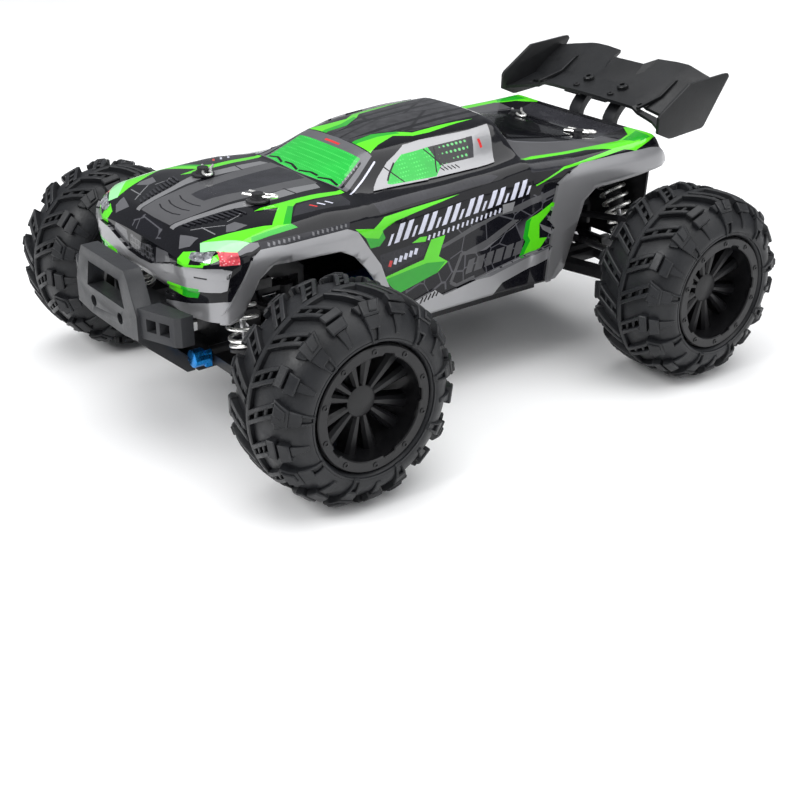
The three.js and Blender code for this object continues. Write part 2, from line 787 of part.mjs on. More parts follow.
const SECTIONS = [
  [-118.4, [0, 79], [14, 79], [24, 78.5], [30, 78], [33, 77], [34, 75], [34, 68]],
  [-115, [0, 82], [14, 82], [26, 81.5], [38, 80.5], [42, 79], [43.5, 76], [43.5, 68]],
  [-111, [0, 85.6], [14, 85.3], [27, 84.6], [42, 83.5], [47, 81], [48.7, 77], [48.7, 68]],
  [-104, [0, 87.2], [14, 87], [28, 86.4], [43, 86], [48.5, 84.5], [51.5, 81.5], [51.5, 74]],
  [-88, [0, 90], [14, 89.8], [28, 89.4], [41, 88.8], [47, 87], [51.5, 83], [52, 74]],
  [-62, [0, 91], [14, 91], [27, 90.5], [40, 90], [46, 88.5], [51, 83], [52, 74]],
  [-47, [0, 91.3], [16, 91], [28, 90], [37, 89.5], [45, 87.5], [49.5, 83], [50.5, 74]],
  [-29, [0, 101.5], [14, 101.3], [24, 100], [36, 89.8], [44.5, 88], [49.5, 83], [50, 74]],
  [-10, [0, 104], [16, 103.6], [28, 101.6], [38, 90], [45, 88.5], [49.5, 84], [50, 74]],
  [15, [0, 105.6], [18, 105.2], [30, 102.3], [39, 90.5], [45.5, 89.5], [49.5, 85], [50, 74]],
  [32.8, [0, 106], [18, 105.6], [26, 102.8], [38, 92], [46, 91], [49.5, 86], [50.5, 74]],
  [36, [0, 97.6], [18, 97.5], [29, 97], [40, 90.8], [46, 90.3], [50.5, 86], [51.5, 74]],
  [60, [0, 92.8], [16, 92.8], [25, 92.2], [40, 89.4], [46.5, 89.2], [51.5, 86], [52, 74]],
  [92, [0, 87], [14, 87], [20, 87.2], [40, 89.3], [46.5, 89.4], [51.2, 86], [52, 74]],
  [104, [0, 89.4], [14, 89.4], [28, 89.6], [40, 90], [46.3, 89.8], [50, 85.5], [51, 75]],
  [108, [0, 90], [18, 90], [30, 90], [40, 90.3], [45.8, 90], [49, 85], [50, 76]],
  [114, [0, 84], [18, 84], [30, 84], [38, 84], [43, 83], [46, 81], [46, 76]],
];
const LAST_CAB_STATION = 9; // the roof drops to the deck behind it
const SHELL_FOOT = 30; // the sections run down to here before the lower edge is trimmed

// Moves a half section in by a wall thickness, square to its own line.
function insetSection(points, wall) {
  return points.map(([x, z], i) => {
    const before = points[Math.max(i - 1, 0)];
    const after = points[Math.min(i + 1, points.length - 1)];
    const along = new THREE.Vector2(after[0] - before[0], after[1] - before[1]).normalize();
    return [i === 0 ? 0 : x + along.y * wall, z - Math.max(along.x, 0) * wall];
  });
}

function shellSolid(wall) {
  const rings = SECTIONS.map(([y, ...points], i) => {
    const last = points[points.length - 1];
    const full = [...points, [last[0] - 1.5, SHELL_FOOT]];
    const half = wall > 0 ? insetSection(full, wall) : full;
    let station = y;
    if (i === 0) station += wall;
    if (i > LAST_CAB_STATION) station -= wall;
    const right = half.slice(1).map(([x, z]) => [-x, z]).reverse();
    return [...right, ...half].map(([x, z]) => [x, station, z]);
  });
  return loft(rings);
}

// The lower edge in side view: nose valance, front arch, rocker, rear arch and tail.
const SHELL_TRIM = [
  [-140, 10],
  [-140, 58],
  [-110.5, 57.6],
  [-106.5, 60],
  [-99, 73.5],
  [-93.2, 77.5],
  [-64.1, 76.2],
  [-57.5, 72.6],
  [-51.8, 66.3],
  [-44.9, 57],
  [-35.5, 40],
  [-18.7, 39],
  [41.7, 39],
  [46.6, 39.4],
  [51.2, 43.3],
  [58, 64.8],
  [60.1, 71.4],
  [66, 75.6],
  [84.5, 76.2],
  [130, 78.5],
  [130, 10],
];

function bodyShell() {
  const trim = plate('x', SHELL_TRIM, -60, 60);
  const noseTrim = box([-30, -130, 10], [30, -104, 66.5]);
  const tailNotch = box([-32, 109, 10], [32, 130, 120]);
  const posts = Object.values(POSTS).flatMap(([x, y, z]) =>
    Object.values(SIDES).map((hand) =>
      bar(POST_R + 0.6, [hand * x, y, z - 20], [hand * x, y, z + 5], 12),
    ),
  );
  return cut(shellSolid(0), shellSolid(SHELL_T), trim, noseTrim, tailNotch, ...posts);
}

addPart('body_shell', bodyShell(), MATERIAL.shell);

// ---- Wing -------------------------------------------------------------------------------------------

const WING_T = 2;
const WING_PLATE_X = 50;

// Chord lines across the wing: x, then (y, z) at the lip, the fold and the trailing edge.
const CHORDS = [
  [0, [112, 98.5], [127, 102.6], [134.5, 106.5]],
  [14, [112, 98], [127, 102.6], [138, 109.5]],
  [31, [112.5, 95.6], [126, 99.6], [140, 111]],
  [WING_PLATE_X + 0.5, [108, 93], [124, 97], [141, 108.5]],
];

// One strip of the wing between two chord lines: a plate in (y, z) with a slant in x.
function wingStrip(from, to) {
  const rings = [to, from].map(([x, ...chord]) => {
    const upper = chord.map(([y, z]) => [x, y, z]);
    const lower = chord.map(([y, z]) => [x, y, z - WING_T]).reverse();
    return [...upper, ...lower];
  });
  return loft(rings);
}

function wing() {
  const right = CHORDS.slice(1).map(([x, ...points]) => [-x, ...points]).reverse();
  const chords = [...right, ...CHORDS];
  const panel = join(...chords.slice(1).map((chord, i) => wingStrip(chords[i], chord)));
  const outline = [
    [103.2, 99],
    [121.7, 111.3],
    [144.2, 112.8],
    [146.2, 111.3],
    [132.4, 90.8],
    [110.8, 88.9],
    [102.9, 92.9],
  ];
  const plates = Object.values(SIDES).map((hand) => {
    const xs = [hand * WING_PLATE_X, hand * (WING_PLATE_X + 2.6)].sort((a, b) => a - b);
    return plate('x', outline, xs[0], xs[1]);
  });
  return join(panel, ...plates);
}

addPart('wing', wing(), MATERIAL.plastic);

function wingStay() {
  const curve = [
    [97.2, 64],
    [104, 64],
    [112, 68],
    [115.5, 80],
    [115, 88],
    [118.5, 93.2],
    [122.5, 96.4],
  ];
  const section = [
    [-3.4, -1.6],
    [3.4, -1.6],
    [3.4, 1.6],
    [-3.4, 1.6],
  ];
  const stays = Object.values(SIDES).map((hand) =>
    swept(section, curve.map(([y, z]) => [hand * 11, y, z]), 18),
  );
  const base = box([-14, 97, 60], [14, 100, 68]);
  const cross = box([-11, 103, 62.5], [11, 106, 65.5]);
  return join(base, cross, ...stays);
}

addPart('wing_stay', wingStay(), MATERIAL.plastic);

export default truck;
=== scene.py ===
"""The looks of a radio-controlled monster truck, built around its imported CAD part.

Shapes are drawn in millimetres about the middle of the wheelbase: x to the truck's left, y to the
tail (the nose points along -y), z up from the ground. TO_FRAME turns that into the row frame.
"""

import json
import math

import bmesh
import bpy
from mathutils import Matrix, Vector


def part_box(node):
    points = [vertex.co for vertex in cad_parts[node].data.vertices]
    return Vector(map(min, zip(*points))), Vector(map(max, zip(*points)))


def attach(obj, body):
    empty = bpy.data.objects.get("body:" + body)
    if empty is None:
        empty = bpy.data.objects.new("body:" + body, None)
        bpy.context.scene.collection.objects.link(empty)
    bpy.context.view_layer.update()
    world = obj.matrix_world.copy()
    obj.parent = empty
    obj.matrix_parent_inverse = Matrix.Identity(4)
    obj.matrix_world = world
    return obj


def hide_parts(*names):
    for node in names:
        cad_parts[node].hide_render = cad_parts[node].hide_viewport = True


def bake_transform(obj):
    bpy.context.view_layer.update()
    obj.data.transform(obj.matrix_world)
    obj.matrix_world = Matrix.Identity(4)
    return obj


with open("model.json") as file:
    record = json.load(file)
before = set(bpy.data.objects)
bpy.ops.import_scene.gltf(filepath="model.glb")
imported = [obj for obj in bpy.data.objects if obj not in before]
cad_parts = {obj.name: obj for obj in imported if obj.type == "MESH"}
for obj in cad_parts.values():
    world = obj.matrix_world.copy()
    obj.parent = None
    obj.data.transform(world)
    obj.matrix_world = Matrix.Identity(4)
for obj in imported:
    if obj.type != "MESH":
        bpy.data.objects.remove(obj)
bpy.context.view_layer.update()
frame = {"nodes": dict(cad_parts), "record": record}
NODES = frame["nodes"]

MM = 0.001
SIDES = {"left": 1, "right": -1}
ENDS = {"front": -1, "rear": 1}


def middle(node):
    low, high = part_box(node)
    return (low + high) / 2


FRONT_WHEEL = middle("front_left_tyre") / MM
REAR_WHEEL = middle("rear_left_tyre") / MM
AXLE_D = (REAR_WHEEL.y - FRONT_WHEEL.y) / 2  # half of the wheelbase
WHEEL_X = FRONT_WHEEL.x
AXLE_Z = FRONT_WHEEL.z
SHIFT_Y = (REAR_WHEEL.y + FRONT_WHEEL.y) / 2
TO_FRAME = Matrix.Scale(MM, 4) @ Matrix.Translation((0, SHIFT_Y, 0))
FROM_FRAME = TO_FRAME.inverted()

# ---- Materials ---------------------------------------------------------------------------------


def node(tree, kind, **values):
    made = tree.nodes.new(kind)
    for name, value in values.items():
        if hasattr(made, name):
            setattr(made, name, value)
        else:
            made.inputs[name.replace("_", " ")].default_value = value
    return made


def finish(name, color, roughness, metallic=0.0, coat=0.0, mottle=(60, 0.12), grain=(900, 0.25),
           spread=0.06, pattern=None):
    """A surface with uneven colour and gloss and a fine grain. A pattern may repaint it."""
    made = bpy.data.materials.new(name)
    made.use_nodes = True
    tree = made.node_tree
    shader = tree.nodes["Principled BSDF"]
    shader.inputs["Metallic"].default_value = metallic
    shader.inputs["Coat Weight"].default_value = coat
    shader.inputs["Coat Roughness"].default_value = 0.04
    shader.inputs["Coat IOR"].default_value = 1.4
    shader.inputs["Specular IOR Level"].default_value = 0.05 if coat else 0.35
    where = node(tree, "ShaderNodeTexCoord")
    cloud = node(tree, "ShaderNodeTexNoise", Scale=mottle[0], Detail=5.0, Roughness=0.6)
    tree.links.new(where.outputs["Object"], cloud.inputs["Vector"])
    tint = node(tree, "ShaderNodeValToRGB")
    dark, light = [tuple(min(1, c * k) for c in color) + (1,)
                   for k in (1 - mottle[1], 1 + mottle[1])]
    tint.color_ramp.elements[0].color = dark
    tint.color_ramp.elements[1].color = light
    tint.color_ramp.elements[0].position = 0.3
    tint.color_ramp.elements[1].position = 0.7
    tree.links.new(cloud.outputs["Fac"], tint.inputs["Fac"])
    colour = tint.outputs["Color"]
    if pattern:
        colour = pattern(tree, where.outputs["Object"], colour)
    tree.links.new(colour, shader.inputs["Base Color"])
    haze = node(tree, "ShaderNodeTexNoise", Scale=mottle[0] * 3.7, Detail=6.0)
    tree.links.new(where.outputs["Object"], haze.inputs["Vector"])
    span = node(tree, "ShaderNodeMapRange")
    span.inputs["From Min"].default_value = 0.3
    span.inputs["From Max"].default_value = 0.7
    span.inputs["To Min"].default_value = max(0.01, roughness - spread)
    span.inputs["To Max"].default_value = min(1.0, roughness + spread)
    tree.links.new(haze.outputs["Fac"], span.inputs["Value"])
    tree.links.new(span.outputs["Result"], shader.inputs["Roughness"])
    speck = node(tree, "ShaderNodeTexNoise", Scale=grain[0], Detail=3.0)
    tree.links.new(where.outputs["Object"], speck.inputs["Vector"])
    bump = node(tree, "ShaderNodeBump", Strength=grain[1], Distance=0.0002)
    tree.links.new(speck.outputs["Fac"], bump.inputs["Height"])
    tree.links.new(bump.outputs["Normal"], shader.inputs["Normal"])
    return made


def blended(tree, mask, base, color):
    """The base colour, with another colour where the mask is 1."""
    mix = node(tree, "ShaderNodeMix", data_type="RGBA")
    tree.links.new(mask, mix.inputs["Factor"])
    tree.links.new(base, mix.inputs["A"])
    mix.inputs["B"].default_value = color + (1,)
    return mix.outputs["Result"]


def threshold(tree, value, low, high):
    edge = node(tree, "ShaderNodeMapRange")
    edge.inputs["From Min"].default_value = low
    edge.inputs["From Max"].default_value = high
    tree.links.new(value, edge.inputs["Value"])
    return edge.outputs["Result"]


def cells(scale, color, low, high, feature="F1", randomness=0.0, stretch=(1, 1, 1)):
    """A pattern of dots (F1) or of lines (DISTANCE_TO_EDGE) in another colour."""

    def pattern(tree, where, base):
        placed = node(tree, "ShaderNodeMapping")
        placed.inputs["Scale"].default_value = [s * scale for s in stretch]
        tree.links.new(where, placed.inputs["Vector"])
        grid = node(tree, "ShaderNodeTexVoronoi", feature=feature, Scale=1.0, Randomness=randomness)
        tree.links.new(placed.outputs["Vector"], grid.inputs["Vector"])
        return blended(tree, threshold(tree, grid.outputs["Distance"], low, high), base, color)

    return pattern


def gloss(name, color, roughness, coat=1.0, **more):
    """A glossy paint on the shell, with hardly any grain."""
    return finish(f"paint_{name}", color, roughness, coat=coat, grain=(500, 0.03), **more)


LIME = (0.1, 0.66, 0.012)
GREEN = (0.012, 0.36, 0.015)
LINES = "DISTANCE_TO_EDGE"
LOOKS = {
    "black": gloss("black", (0.005, 0.005, 0.007), 0.16, coat=0.6),
    "lime": gloss("lime", LIME, 0.22, mottle=(25, 0.1)),
    "green": gloss("green", GREEN, 0.22, mottle=(25, 0.15)),
    "mint": gloss("mint", (0.3, 0.72, 0.33), 0.22),
    "silver": finish("paint_silver", (0.3, 0.3, 0.31), 0.32, 0.6, coat=0.5,
                     mottle=(40, 0.04), grain=(3500, 0.03), spread=0.02),
    "silver_dark": finish("paint_silver_dark", (0.14, 0.14, 0.15), 0.32, 0.4, coat=0.6,
                          mottle=(40, 0.08), grain=(3000, 0.03), spread=0.02),
    "grey": finish("paint_grey", (0.085, 0.085, 0.09), 0.36, 0.15, coat=0.4, mottle=(60, 0.07),
                   grain=(3000, 0.03), spread=0.02),
    "grey_dark": finish("paint_grey_dark", (0.024, 0.024, 0.029), 0.3, 0.1, coat=0.5,
                        mottle=(120, 0.25), grain=(800, 0.04)),
    "white": gloss("white", (0.62, 0.63, 0.74), 0.25),
    "red": gloss("red", (0.6, 0.03, 0.03), 0.25),
    "glass": gloss("window", (0.018, 0.42, 0.05), 0.12,
                   pattern=cells(800, (0.06, 0.6, 0.1), 0.34, 0.2)),
    "mesh": gloss("mesh", (0.008, 0.009, 0.01), 0.25,
                  pattern=cells(480, (0.12, 0.5, 0.16), 0.34, 0.26)),
    "grille": gloss("grille", (0.007, 0.007, 0.008), 0.3,
                    pattern=cells(480, (0.1, 0.1, 0.11), 0.12, 0.06, LINES, 0.2)),
    "crackle": gloss("crackle", (0.006, 0.006, 0.009), 0.2, coat=0.6,
                     pattern=cells(95, (0.075, 0.075, 0.085), 0.03, 0.012, LINES, 1.0)),
    "roof": finish("paint_roof", (0.042, 0.042, 0.046), 0.34, 0.1, coat=0.4,
                   mottle=(220, 0.4), spread=0.03,
                   pattern=cells(60, (0.015, 0.015, 0.017), 0.03, 0.012, LINES, 1.0,
                                 (1, 0.35, 1))),
    "lamp": finish("paint_lamp", (0.3, 0.31, 0.33), 0.12, 0.5, coat=1.0, mottle=(500, 0.9),
                   pattern=cells(520, (0.9, 0.9, 0.92), 0.2, 0.1, randomness=1.0)),
    "lamp_red": finish("paint_lamp_red", (0.55, 0.06, 0.08), 0.15, 0.1, coat=1.0, mottle=(700, 0.5),
                       pattern=cells(900, (0.85, 0.4, 0.42), 0.3, 0.15, randomness=1.0)),
    # the last one is for the inner face of the shell's wall
    "inside": finish("paint_inside", (0.012, 0.012, 0.013), 0.5, grain=(300, 0.1)),
}
SHELL_LOOKS = list(LOOKS)
RUBBER = finish("rubber", (0.0095, 0.0102, 0.012), 0.46, mottle=(55, 0.3), grain=(1300, 0.35),
                spread=0.1)
RIM_BLACK = finish("rim_nylon", (0.007, 0.007, 0.008), 0.36, mottle=(80, 0.2), grain=(1500, 0.2))
NYLON = finish("black_nylon", (0.014, 0.014, 0.016), 0.46, mottle=(60, 0.25), grain=(1100, 0.3))
BUMPER = finish("bumper_nylon", (0.026, 0.027, 0.03), 0.44, mottle=(50, 0.2), grain=(1500, 0.3))
WING = finish("wing_nylon", (0.007, 0.0075, 0.0085), 0.4, mottle=(50, 0.25), grain=(1500, 0.25))
CHROME = finish("plated_wire", (0.95, 0.94, 0.9), 0.3, 0.85, mottle=(200, 0.08), grain=(900, 0.05))
STEEL = finish("turned_steel", (0.45, 0.45, 0.46), 0.32, 1.0, mottle=(200, 0.15),
               grain=(1800, 0.15))
BLUE = finish("blue_anodised", (0.012, 0.24, 0.66), 0.28, 0.9, mottle=(120, 0.15),
              grain=(1600, 0.1))
CAN = finish("motor_can", (0.4, 0.41, 0.43), 0.34, 1.0, mottle=(90, 0.15), grain=(1500, 0.1))
WRAP = finish("battery_wrap", (0.02, 0.08, 0.35), 0.3, coat=0.5, mottle=(50, 0.2),
              grain=(400, 0.2))
CASE = finish("electronics_case", (0.02, 0.02, 0.024), 0.5, mottle=(70, 0.2), grain=(1500, 0.3))
GEAR = finish("gear_nylon", (0.03, 0.03, 0.033), 0.45, mottle=(70, 0.2), grain=(900, 0.2))

BY_SLOT = {
    "chassis_plastic": NYLON, "steel": STEEL, "blue_aluminium": BLUE, "motor_can": CAN,
    "battery_wrap": WRAP, "electronics": CASE, "gear_nylon": GEAR, "spring_wire": CHROME,
    "bumper_plastic": BUMPER, "tyre": RUBBER, "rim": RIM_BLACK, "body_paint": LOOKS["black"],
}
SLOT_OF = {part["node"]: part["material_slot"] for part in frame["record"]["subparts"]}
BODY_OF = {n: body for body, ns in frame["record"]["behaviour"]["bodies"].items() for n in ns}

# ---- Mesh helpers --------------------------------------------------------------------------------


def piece(name, bm, body, materials, replaces=(), sharp=35, closed=True):
    """Turns a mesh drawn in millimetres into an object that rides on a body."""
    bmesh.ops.transform(bm, matrix=TO_FRAME, verts=bm.verts)
    if closed:
        bmesh.ops.recalc_face_normals(bm, faces=bm.faces)
    limit = math.radians(sharp)
    for face in bm.faces:
        face.smooth = True
    for edge in bm.edges:
        edge.smooth = len(edge.link_faces) != 2 or edge.calc_face_angle(0) < limit
    mesh = bpy.data.meshes.new(name)
    bm.to_mesh(mesh)
    bm.free()
    for material in materials:
        mesh.materials.append(material)
    made = bpy.data.objects.new(name, mesh)
    bpy.context.scene.collection.objects.link(made)
    if body:
        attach(made, body)
    if replaces:
        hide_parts(*replaces)
    return made


def skin(bm, rings, caps=True, material=0):
    """Faces through rings of points that all have the same count."""
    rows = [[bm.verts.new(p) for p in ring] for ring in rings]
    count = len(rows[0])
    made = []
    for row, after in zip(rows, rows[1:]):
        for i in range(count):
            j = (i + 1) % count
            made.append(bm.faces.new((row[i], row[j], after[j], after[i])))
    if caps:
        made.append(bm.faces.new(rows[0][::-1]))
        made.append(bm.faces.new(rows[-1]))
    for face in made:
        face.material_index = material
    return made


def lathe(bm, profile, segments, shape=None):
    """A closed ring of revolution about the x axis. Its profile is (x, radius)."""
    rings = []
    for i in range(segments):
        angle = 2 * math.pi * i / segments
        points = [shape(x, r, angle) if shape else (x, r) for x, r in profile]
        rings.append([(x, -r * math.cos(angle), r * math.sin(angle)) for x, r in points])
    skin(bm, rings + rings[:1], caps=False)
    bmesh.ops.remove_doubles(bm, verts=bm.verts, dist=1e-5)


def across(direction):
    """Two unit vectors square to a direction."""
    side = direction.orthogonal().normalized()
    return side, direction.cross(side).normalized()


def circle(centre, radius, a, b, sides):
    """Points around a centre, in the plane of the unit vectors a and b."""
    angles = [k * 2 * math.pi / sides for k in range(sides)]
    return [centre + radius * (math.cos(t) * a + math.sin(t) * b) for t in angles]


def rod(bm, radii, start, end, sides=16, material=0):
    """A round bar. Its radii are (share of the length, radius) from one end to the other."""
    start, end = Vector(start), Vector(end)
    a, b = across((end - start).normalized())
    skin(bm, [circle(start.lerp(end, t), r, a, b, sides) for t, r in radii], material=material)


def bar(bm, radius, start, end, sides=16, material=0):
    """A round bar with broken edges."""
    length = (Vector(end) - Vector(start)).length
    b = min(0.3, radius * 0.4, length * 0.3)
    t = b / length
    rod(bm, [(0, radius - b), (t, radius), (1 - t, radius), (1, radius - b)], start, end, sides,
        material)


def wire(bm, radius, points, material=0):
    """A round wire along a line of points."""
    points = [Vector(p) for p in points]
    rings = []
    side = None
    for i, p in enumerate(points):
        before, after = points[max(i - 1, 0)], points[min(i + 1, len(points) - 1)]
        along = (after - before).normalized()
        if side is None:
            side = along.orthogonal().normalized()
        side = (side - along * side.dot(along)).normalized()
        up = along.cross(side)
        rings.append(circle(p, radius, side, up, 8))
    skin(bm, rings, material=material)


def curve(points, steps):
    """A smooth line through points (Catmull-Rom)."""
    p = [Vector(q) for q in points]
    p = [2 * p[0] - p[1], *p, 2 * p[-1] - p[-2]]
    line = []
    for i in range(1, len(p) - 2):
        for k in range(steps):
            t = k / steps
            line.append(0.5 * (2 * p[i] + (p[i + 1] - p[i - 1]) * t
                               + (2 * p[i - 1] - 5 * p[i] + 4 * p[i + 1] - p[i + 2]) * t * t
                               + (3 * p[i] - p[i - 1] - 3 * p[i + 1] + p[i + 2]) * t ** 3))
    return [*line, p[-2]]


def break_edges(bm, edges, width):
    bmesh.ops.bevel(bm, geom=edges, offset=width, segments=2, affect="EDGES", profile=0.6,
                    clamp_overlap=True, material=-1)


def prism(bm, axis, outline, low, high, bevel):
    """A plate with broken edges. Outlines are (x, y) across z, (y, z) across x, (x, z) across y."""
    place = {
        "x": lambda a, b, c: (c, a, b),
        "y": lambda a, b, c: (a, c, b),
        "z": lambda a, b, c: (a, b, c),
    }[axis]
    faces = skin(bm, [[place(a, b, c) for a, b in outline] for c in (low, high)])
    bmesh.ops.recalc_face_normals(bm, faces=faces)
    break_edges(bm, list({e for f in faces for e in f.edges}), bevel)


def block(bm, low, high, bevel):
    (x0, y0, z0), (x1, y1, z1) = low, high
    prism(bm, "z", [(x0, y0), (x1, y0), (x1, y1), (x0, y1)], z0, z1, bevel)


def socket_screw(bm, centre, direction, radius, height):
    """A round screw head with a hexagon socket."""
    direction = Vector(direction).normalized()
    centre = Vector(centre)
    a, b = across(direction)
    count = 12

    def ring(r, out, hexagon=False):
        points = []
        for k in range(count):
            reach = r * math.cos(math.pi / 6) if hexagon and k % 2 else r
            angle = k * 2 * math.pi / count
            points.append(centre + direction * out
                          + reach * (math.cos(angle) * a + math.sin(angle) * b))
        return points

    skin(bm, [
        ring(radius, -0.4), ring(radius, height * 0.7), ring(radius * 0.82, height),
        ring(radius * 0.52, height, True), ring(radius * 0.5, height * 0.1, True),
    ])


FACET_ANGLE = 28  # edges sharper than this are real edges, which get a bevel


def smooth_copy(name, width=0.35):
    """A copy of a CAD node in millimetres, its flat facets merged and its edges broken."""
    bm = bmesh.new()
    bm.from_mesh(NODES[name].data)
    bmesh.ops.transform(bm, matrix=FROM_FRAME, verts=bm.verts)
    bmesh.ops.remove_doubles(bm, verts=bm.verts, dist=1e-3)
    bmesh.ops.dissolve_limit(bm, angle_limit=math.radians(1), verts=bm.verts, edges=bm.edges)
    edges = [e for e in bm.edges
             if len(e.link_faces) == 2 and e.calc_face_angle(0) > math.radians(FACET_ANGLE)]
    break_edges(bm, edges, width)
    for face in bm.faces:
        face.material_index = 0
    return bm


def mirrored(points):
    return [*points, *[(-x, y) for x, y in reversed(points)]]


def corner_cut(points, ratio):
    """Cuts each corner of an open line; the ends stay."""
    line = [points[0]]
    for a, b in zip(points, points[1:]):
        line += [a.lerp(b, ratio), a.lerp(b, 1 - ratio)]
    return [*line, points[-1]]


# ---- Wheels --------------------------------------------------------------------------------------

TYRE_PROFILE = [(0, 37.6), (8, 37.2), (13, 35.9), (17, 33.2), (19.6, 29.8), (20.4, 27),
                (19.9, 25.6), (18.6, 24.4), (17.3, 24)]
TREAD_R = 38  # distances around the tread are measured at this radius
PITCHES = 9


CARCASS = corner_cut(corner_cut([Vector(p) for p in TYRE_PROFILE], 0.25), 0.25)


def carcass(u):
    """The point and the outward normal of the tyre's section at a distance u from its middle."""
    for a, b in zip(CARCASS, CARCASS[1:]):
        length = (b - a).length
        if u <= length or b == CARCASS[-1]:
            along = (b - a) / length
            return a + along * min(u, length), Vector((-along.y, along.x))
        u -= length


def on_tyre(u, v, height, side, turn):
    point, normal = carcass(u)
    out = point + normal * height
    angle = turn + v / TREAD_R
    return (side * out.x, -out.y * math.cos(angle), out.y * math.sin(angle))


def lug(bm, side, turn, start, end, heights):
    """A raised bar on the tyre: from (u, low v, high v) to (u, low v, high v)."""
    (u0, a0, b0), (u1, a1, b1) = start, end
    bevel = 0.35
    tip = bevel / (u1 - u0)
    steps = max(1, round((u1 - u0) / 2.2))
    stations = [0.0, tip, *[k / steps for k in range(1, steps)], 1 - tip, 1.0]
    rings = []
    for t in stations:
        u, a, b = u0 + (u1 - u0) * t, a0 + (a1 - a0) * t, b0 + (b1 - b0) * t
        h = heights[0] + (heights[1] - heights[0]) * t
        low = h - bevel
        top = low if t in (0.0, 1.0) else h
        rings.append([
            on_tyre(u, v, height, side, turn)
            for v, height in ((a, -0.5), (a, low), (a + bevel, top), (b - bevel, top),
                              (b, low), (b, -0.5))
        ])
    skin(bm, rings)


# Bars of one half of the tread: start, end, heights. They point up and out from the middle.
TREAD = {
    0: [
        ((1, 2.2, 4.2), (12.5, 9.6, 11.4), (2.3, 2.9)),
        ((1, -1.2, 0.6), (12.8, 5.8, 7.6), (2.3, 2.9)),
        ((4.2, 2, 4.8), (6, 3, 5.8), (1.9, 1.9)),
        ((9, 4.9, 7.8), (10.5, 5.8, 8.8), (2.1, 2.1)),
        ((12.5, 4.2, 12.6), (17.5, 3.2, 10), (3, 2.5)),
        ((13.2, 7.4, 11.4), (16.6, 6, 9.2), (3.6, 3.2)),
        ((13, 1.4, 4.4), (16, 2.8, 4.4), (2.2, 1.5)),
        ((17.3, 3.4, 9.9), (21.6, 3.7, 9.2), (1.9, 1.3)),
        ((21.4, 3.7, 5), (25.8, 4.4, 5.3), (1.3, 0.8)),
        ((21.4, 8, 9.2), (25.8, 7.2, 8.4), (1.3, 0.8)),
        ((25.4, 4.4, 8.5), (27, 4.5, 8.2), (0.9, 0.5)),
    ],
    1: [
        ((1, 2.6, 4.4), (10.5, 8.6, 10.2), (2.3, 2.8)),
        ((1, -1.6, 0.4), (10.5, 4, 5.8), (2.3, 2.8)),
        ((3.6, 1.4, 4.7), (4.8, 2.2, 5.5), (1.9, 1.9)),
        ((7, 3.3, 6.9), (8.2, 4, 7.6), (2, 2)),
        ((10.5, 3.4, 10.7), (13.4, 3.4, 10.7), (2.9, 2.9)),
        ((14.2, 2.4, 9.7), (17.6, 2.4, 9.2), (2.9, 2.4)),
        ((17.5, 4, 8), (24, 4.6, 7), (1.3, 0.6)),
    ],
}


def tyre_mesh():
    bm = bmesh.new()
    half = [(p.x, p.y) for p in CARCASS]
    profile = [*half, *[(-x, r) for x, r in reversed(half[1:])], (-15.5, 25), (15.5, 25)]
    lathe(bm, profile, 108)
    # the moulding ridge around the middle
    lathe(bm, [(-1.3, 37), (-1.1, 39), (-0.7, 39.4), (0.7, 39.4), (1.1, 39), (1.3, 37)], 108)
    for side in (1, -1):
        shift = 0 if side > 0 else math.radians(10)
        for pitch in range(PITCHES):
            for kind, bars in TREAD.items():
                turn = 2 * math.pi * (pitch + kind / 2) / PITCHES + shift
                for start, end, heights in bars:
                    lug(bm, side, turn, start, end, heights)
        # a thin bead line beside the rim
        point, _ = carcass(26.3)
        x, r = side * point.x, point.y
        lathe(bm, [(x - side * 0.6, r - 0.5), (x + side * 0.35, r - 0.4), (x + side * 0.35, r + 0.3),
                   (x - side * 0.6, r + 0.6)], 108)
    return bm


RING_X = 19.5  # outer face of the ring that holds the tyre's bead
HUB_X = 11.4


def rim_mesh():
    bm = bmesh.new()
    lathe(bm, [(-17.3, 20.6), (-17.3, 23.5), (-15.5, 23.7), (17.7, 23.7), (17.7, 20.4),
               (12, 20.2), (-15, 20.4)], 96)

    def notched(x, r, angle):
        if r > 20:
            return x, r
        phase = (angle * 5 / (2 * math.pi)) % 1
        return x, r + (0.9 if abs(phase - 0.5) < 0.11 else 0)

    lathe(bm, [(17.6, 19.9), (19.1, 19.5), (RING_X, 19.9), (RING_X, 23.2), (19.1, 23.6),
               (17.6, 23.6)], 180, shape=notched)
    for k in range(10):
        angle = 2 * math.pi * (k + 0.5) / 10
        centre = (RING_X, -21.6 * math.cos(angle), 21.6 * math.sin(angle))
        socket_screw(bm, centre, (1, 0, 0), 1.15, 0.35)
    # the hub with its round cap, and the stub axle behind it
    lathe(bm, [(-8, 0.01), (-8, 5.8), (HUB_X - 1, 6.2), (HUB_X - 0.3, 5.9), (HUB_X, 5.2),
               (HUB_X, 0.01)], 40)
    bar(bm, 2, (-25.5, 0, 0), (-7.5, 0, 0), 20)
    for pair in range(6):
        for lean in (-1, 1):
            turn = Matrix.Rotation(pair * math.pi / 3 + lean * math.radians(12.5), 4, "X")
            rings = []
            for r, half, ridge, back in ((5.2, 1.1, HUB_X - 0.3, 4.5), (12, 1.9, HUB_X - 0.3, 5),
                                         (20.8, 2.7, HUB_X - 0.3, 5)):
                rings.append([
                    turn @ Vector(p)
                    for p in ((back, -half, r), (ridge - 1.1, -half, r),
                              (ridge, -0.45 * half, r), (ridge, 0.45 * half, r),
                              (ridge - 1.1, half, r), (back, half, r))
                ])
            skin(bm, rings)
    return bm


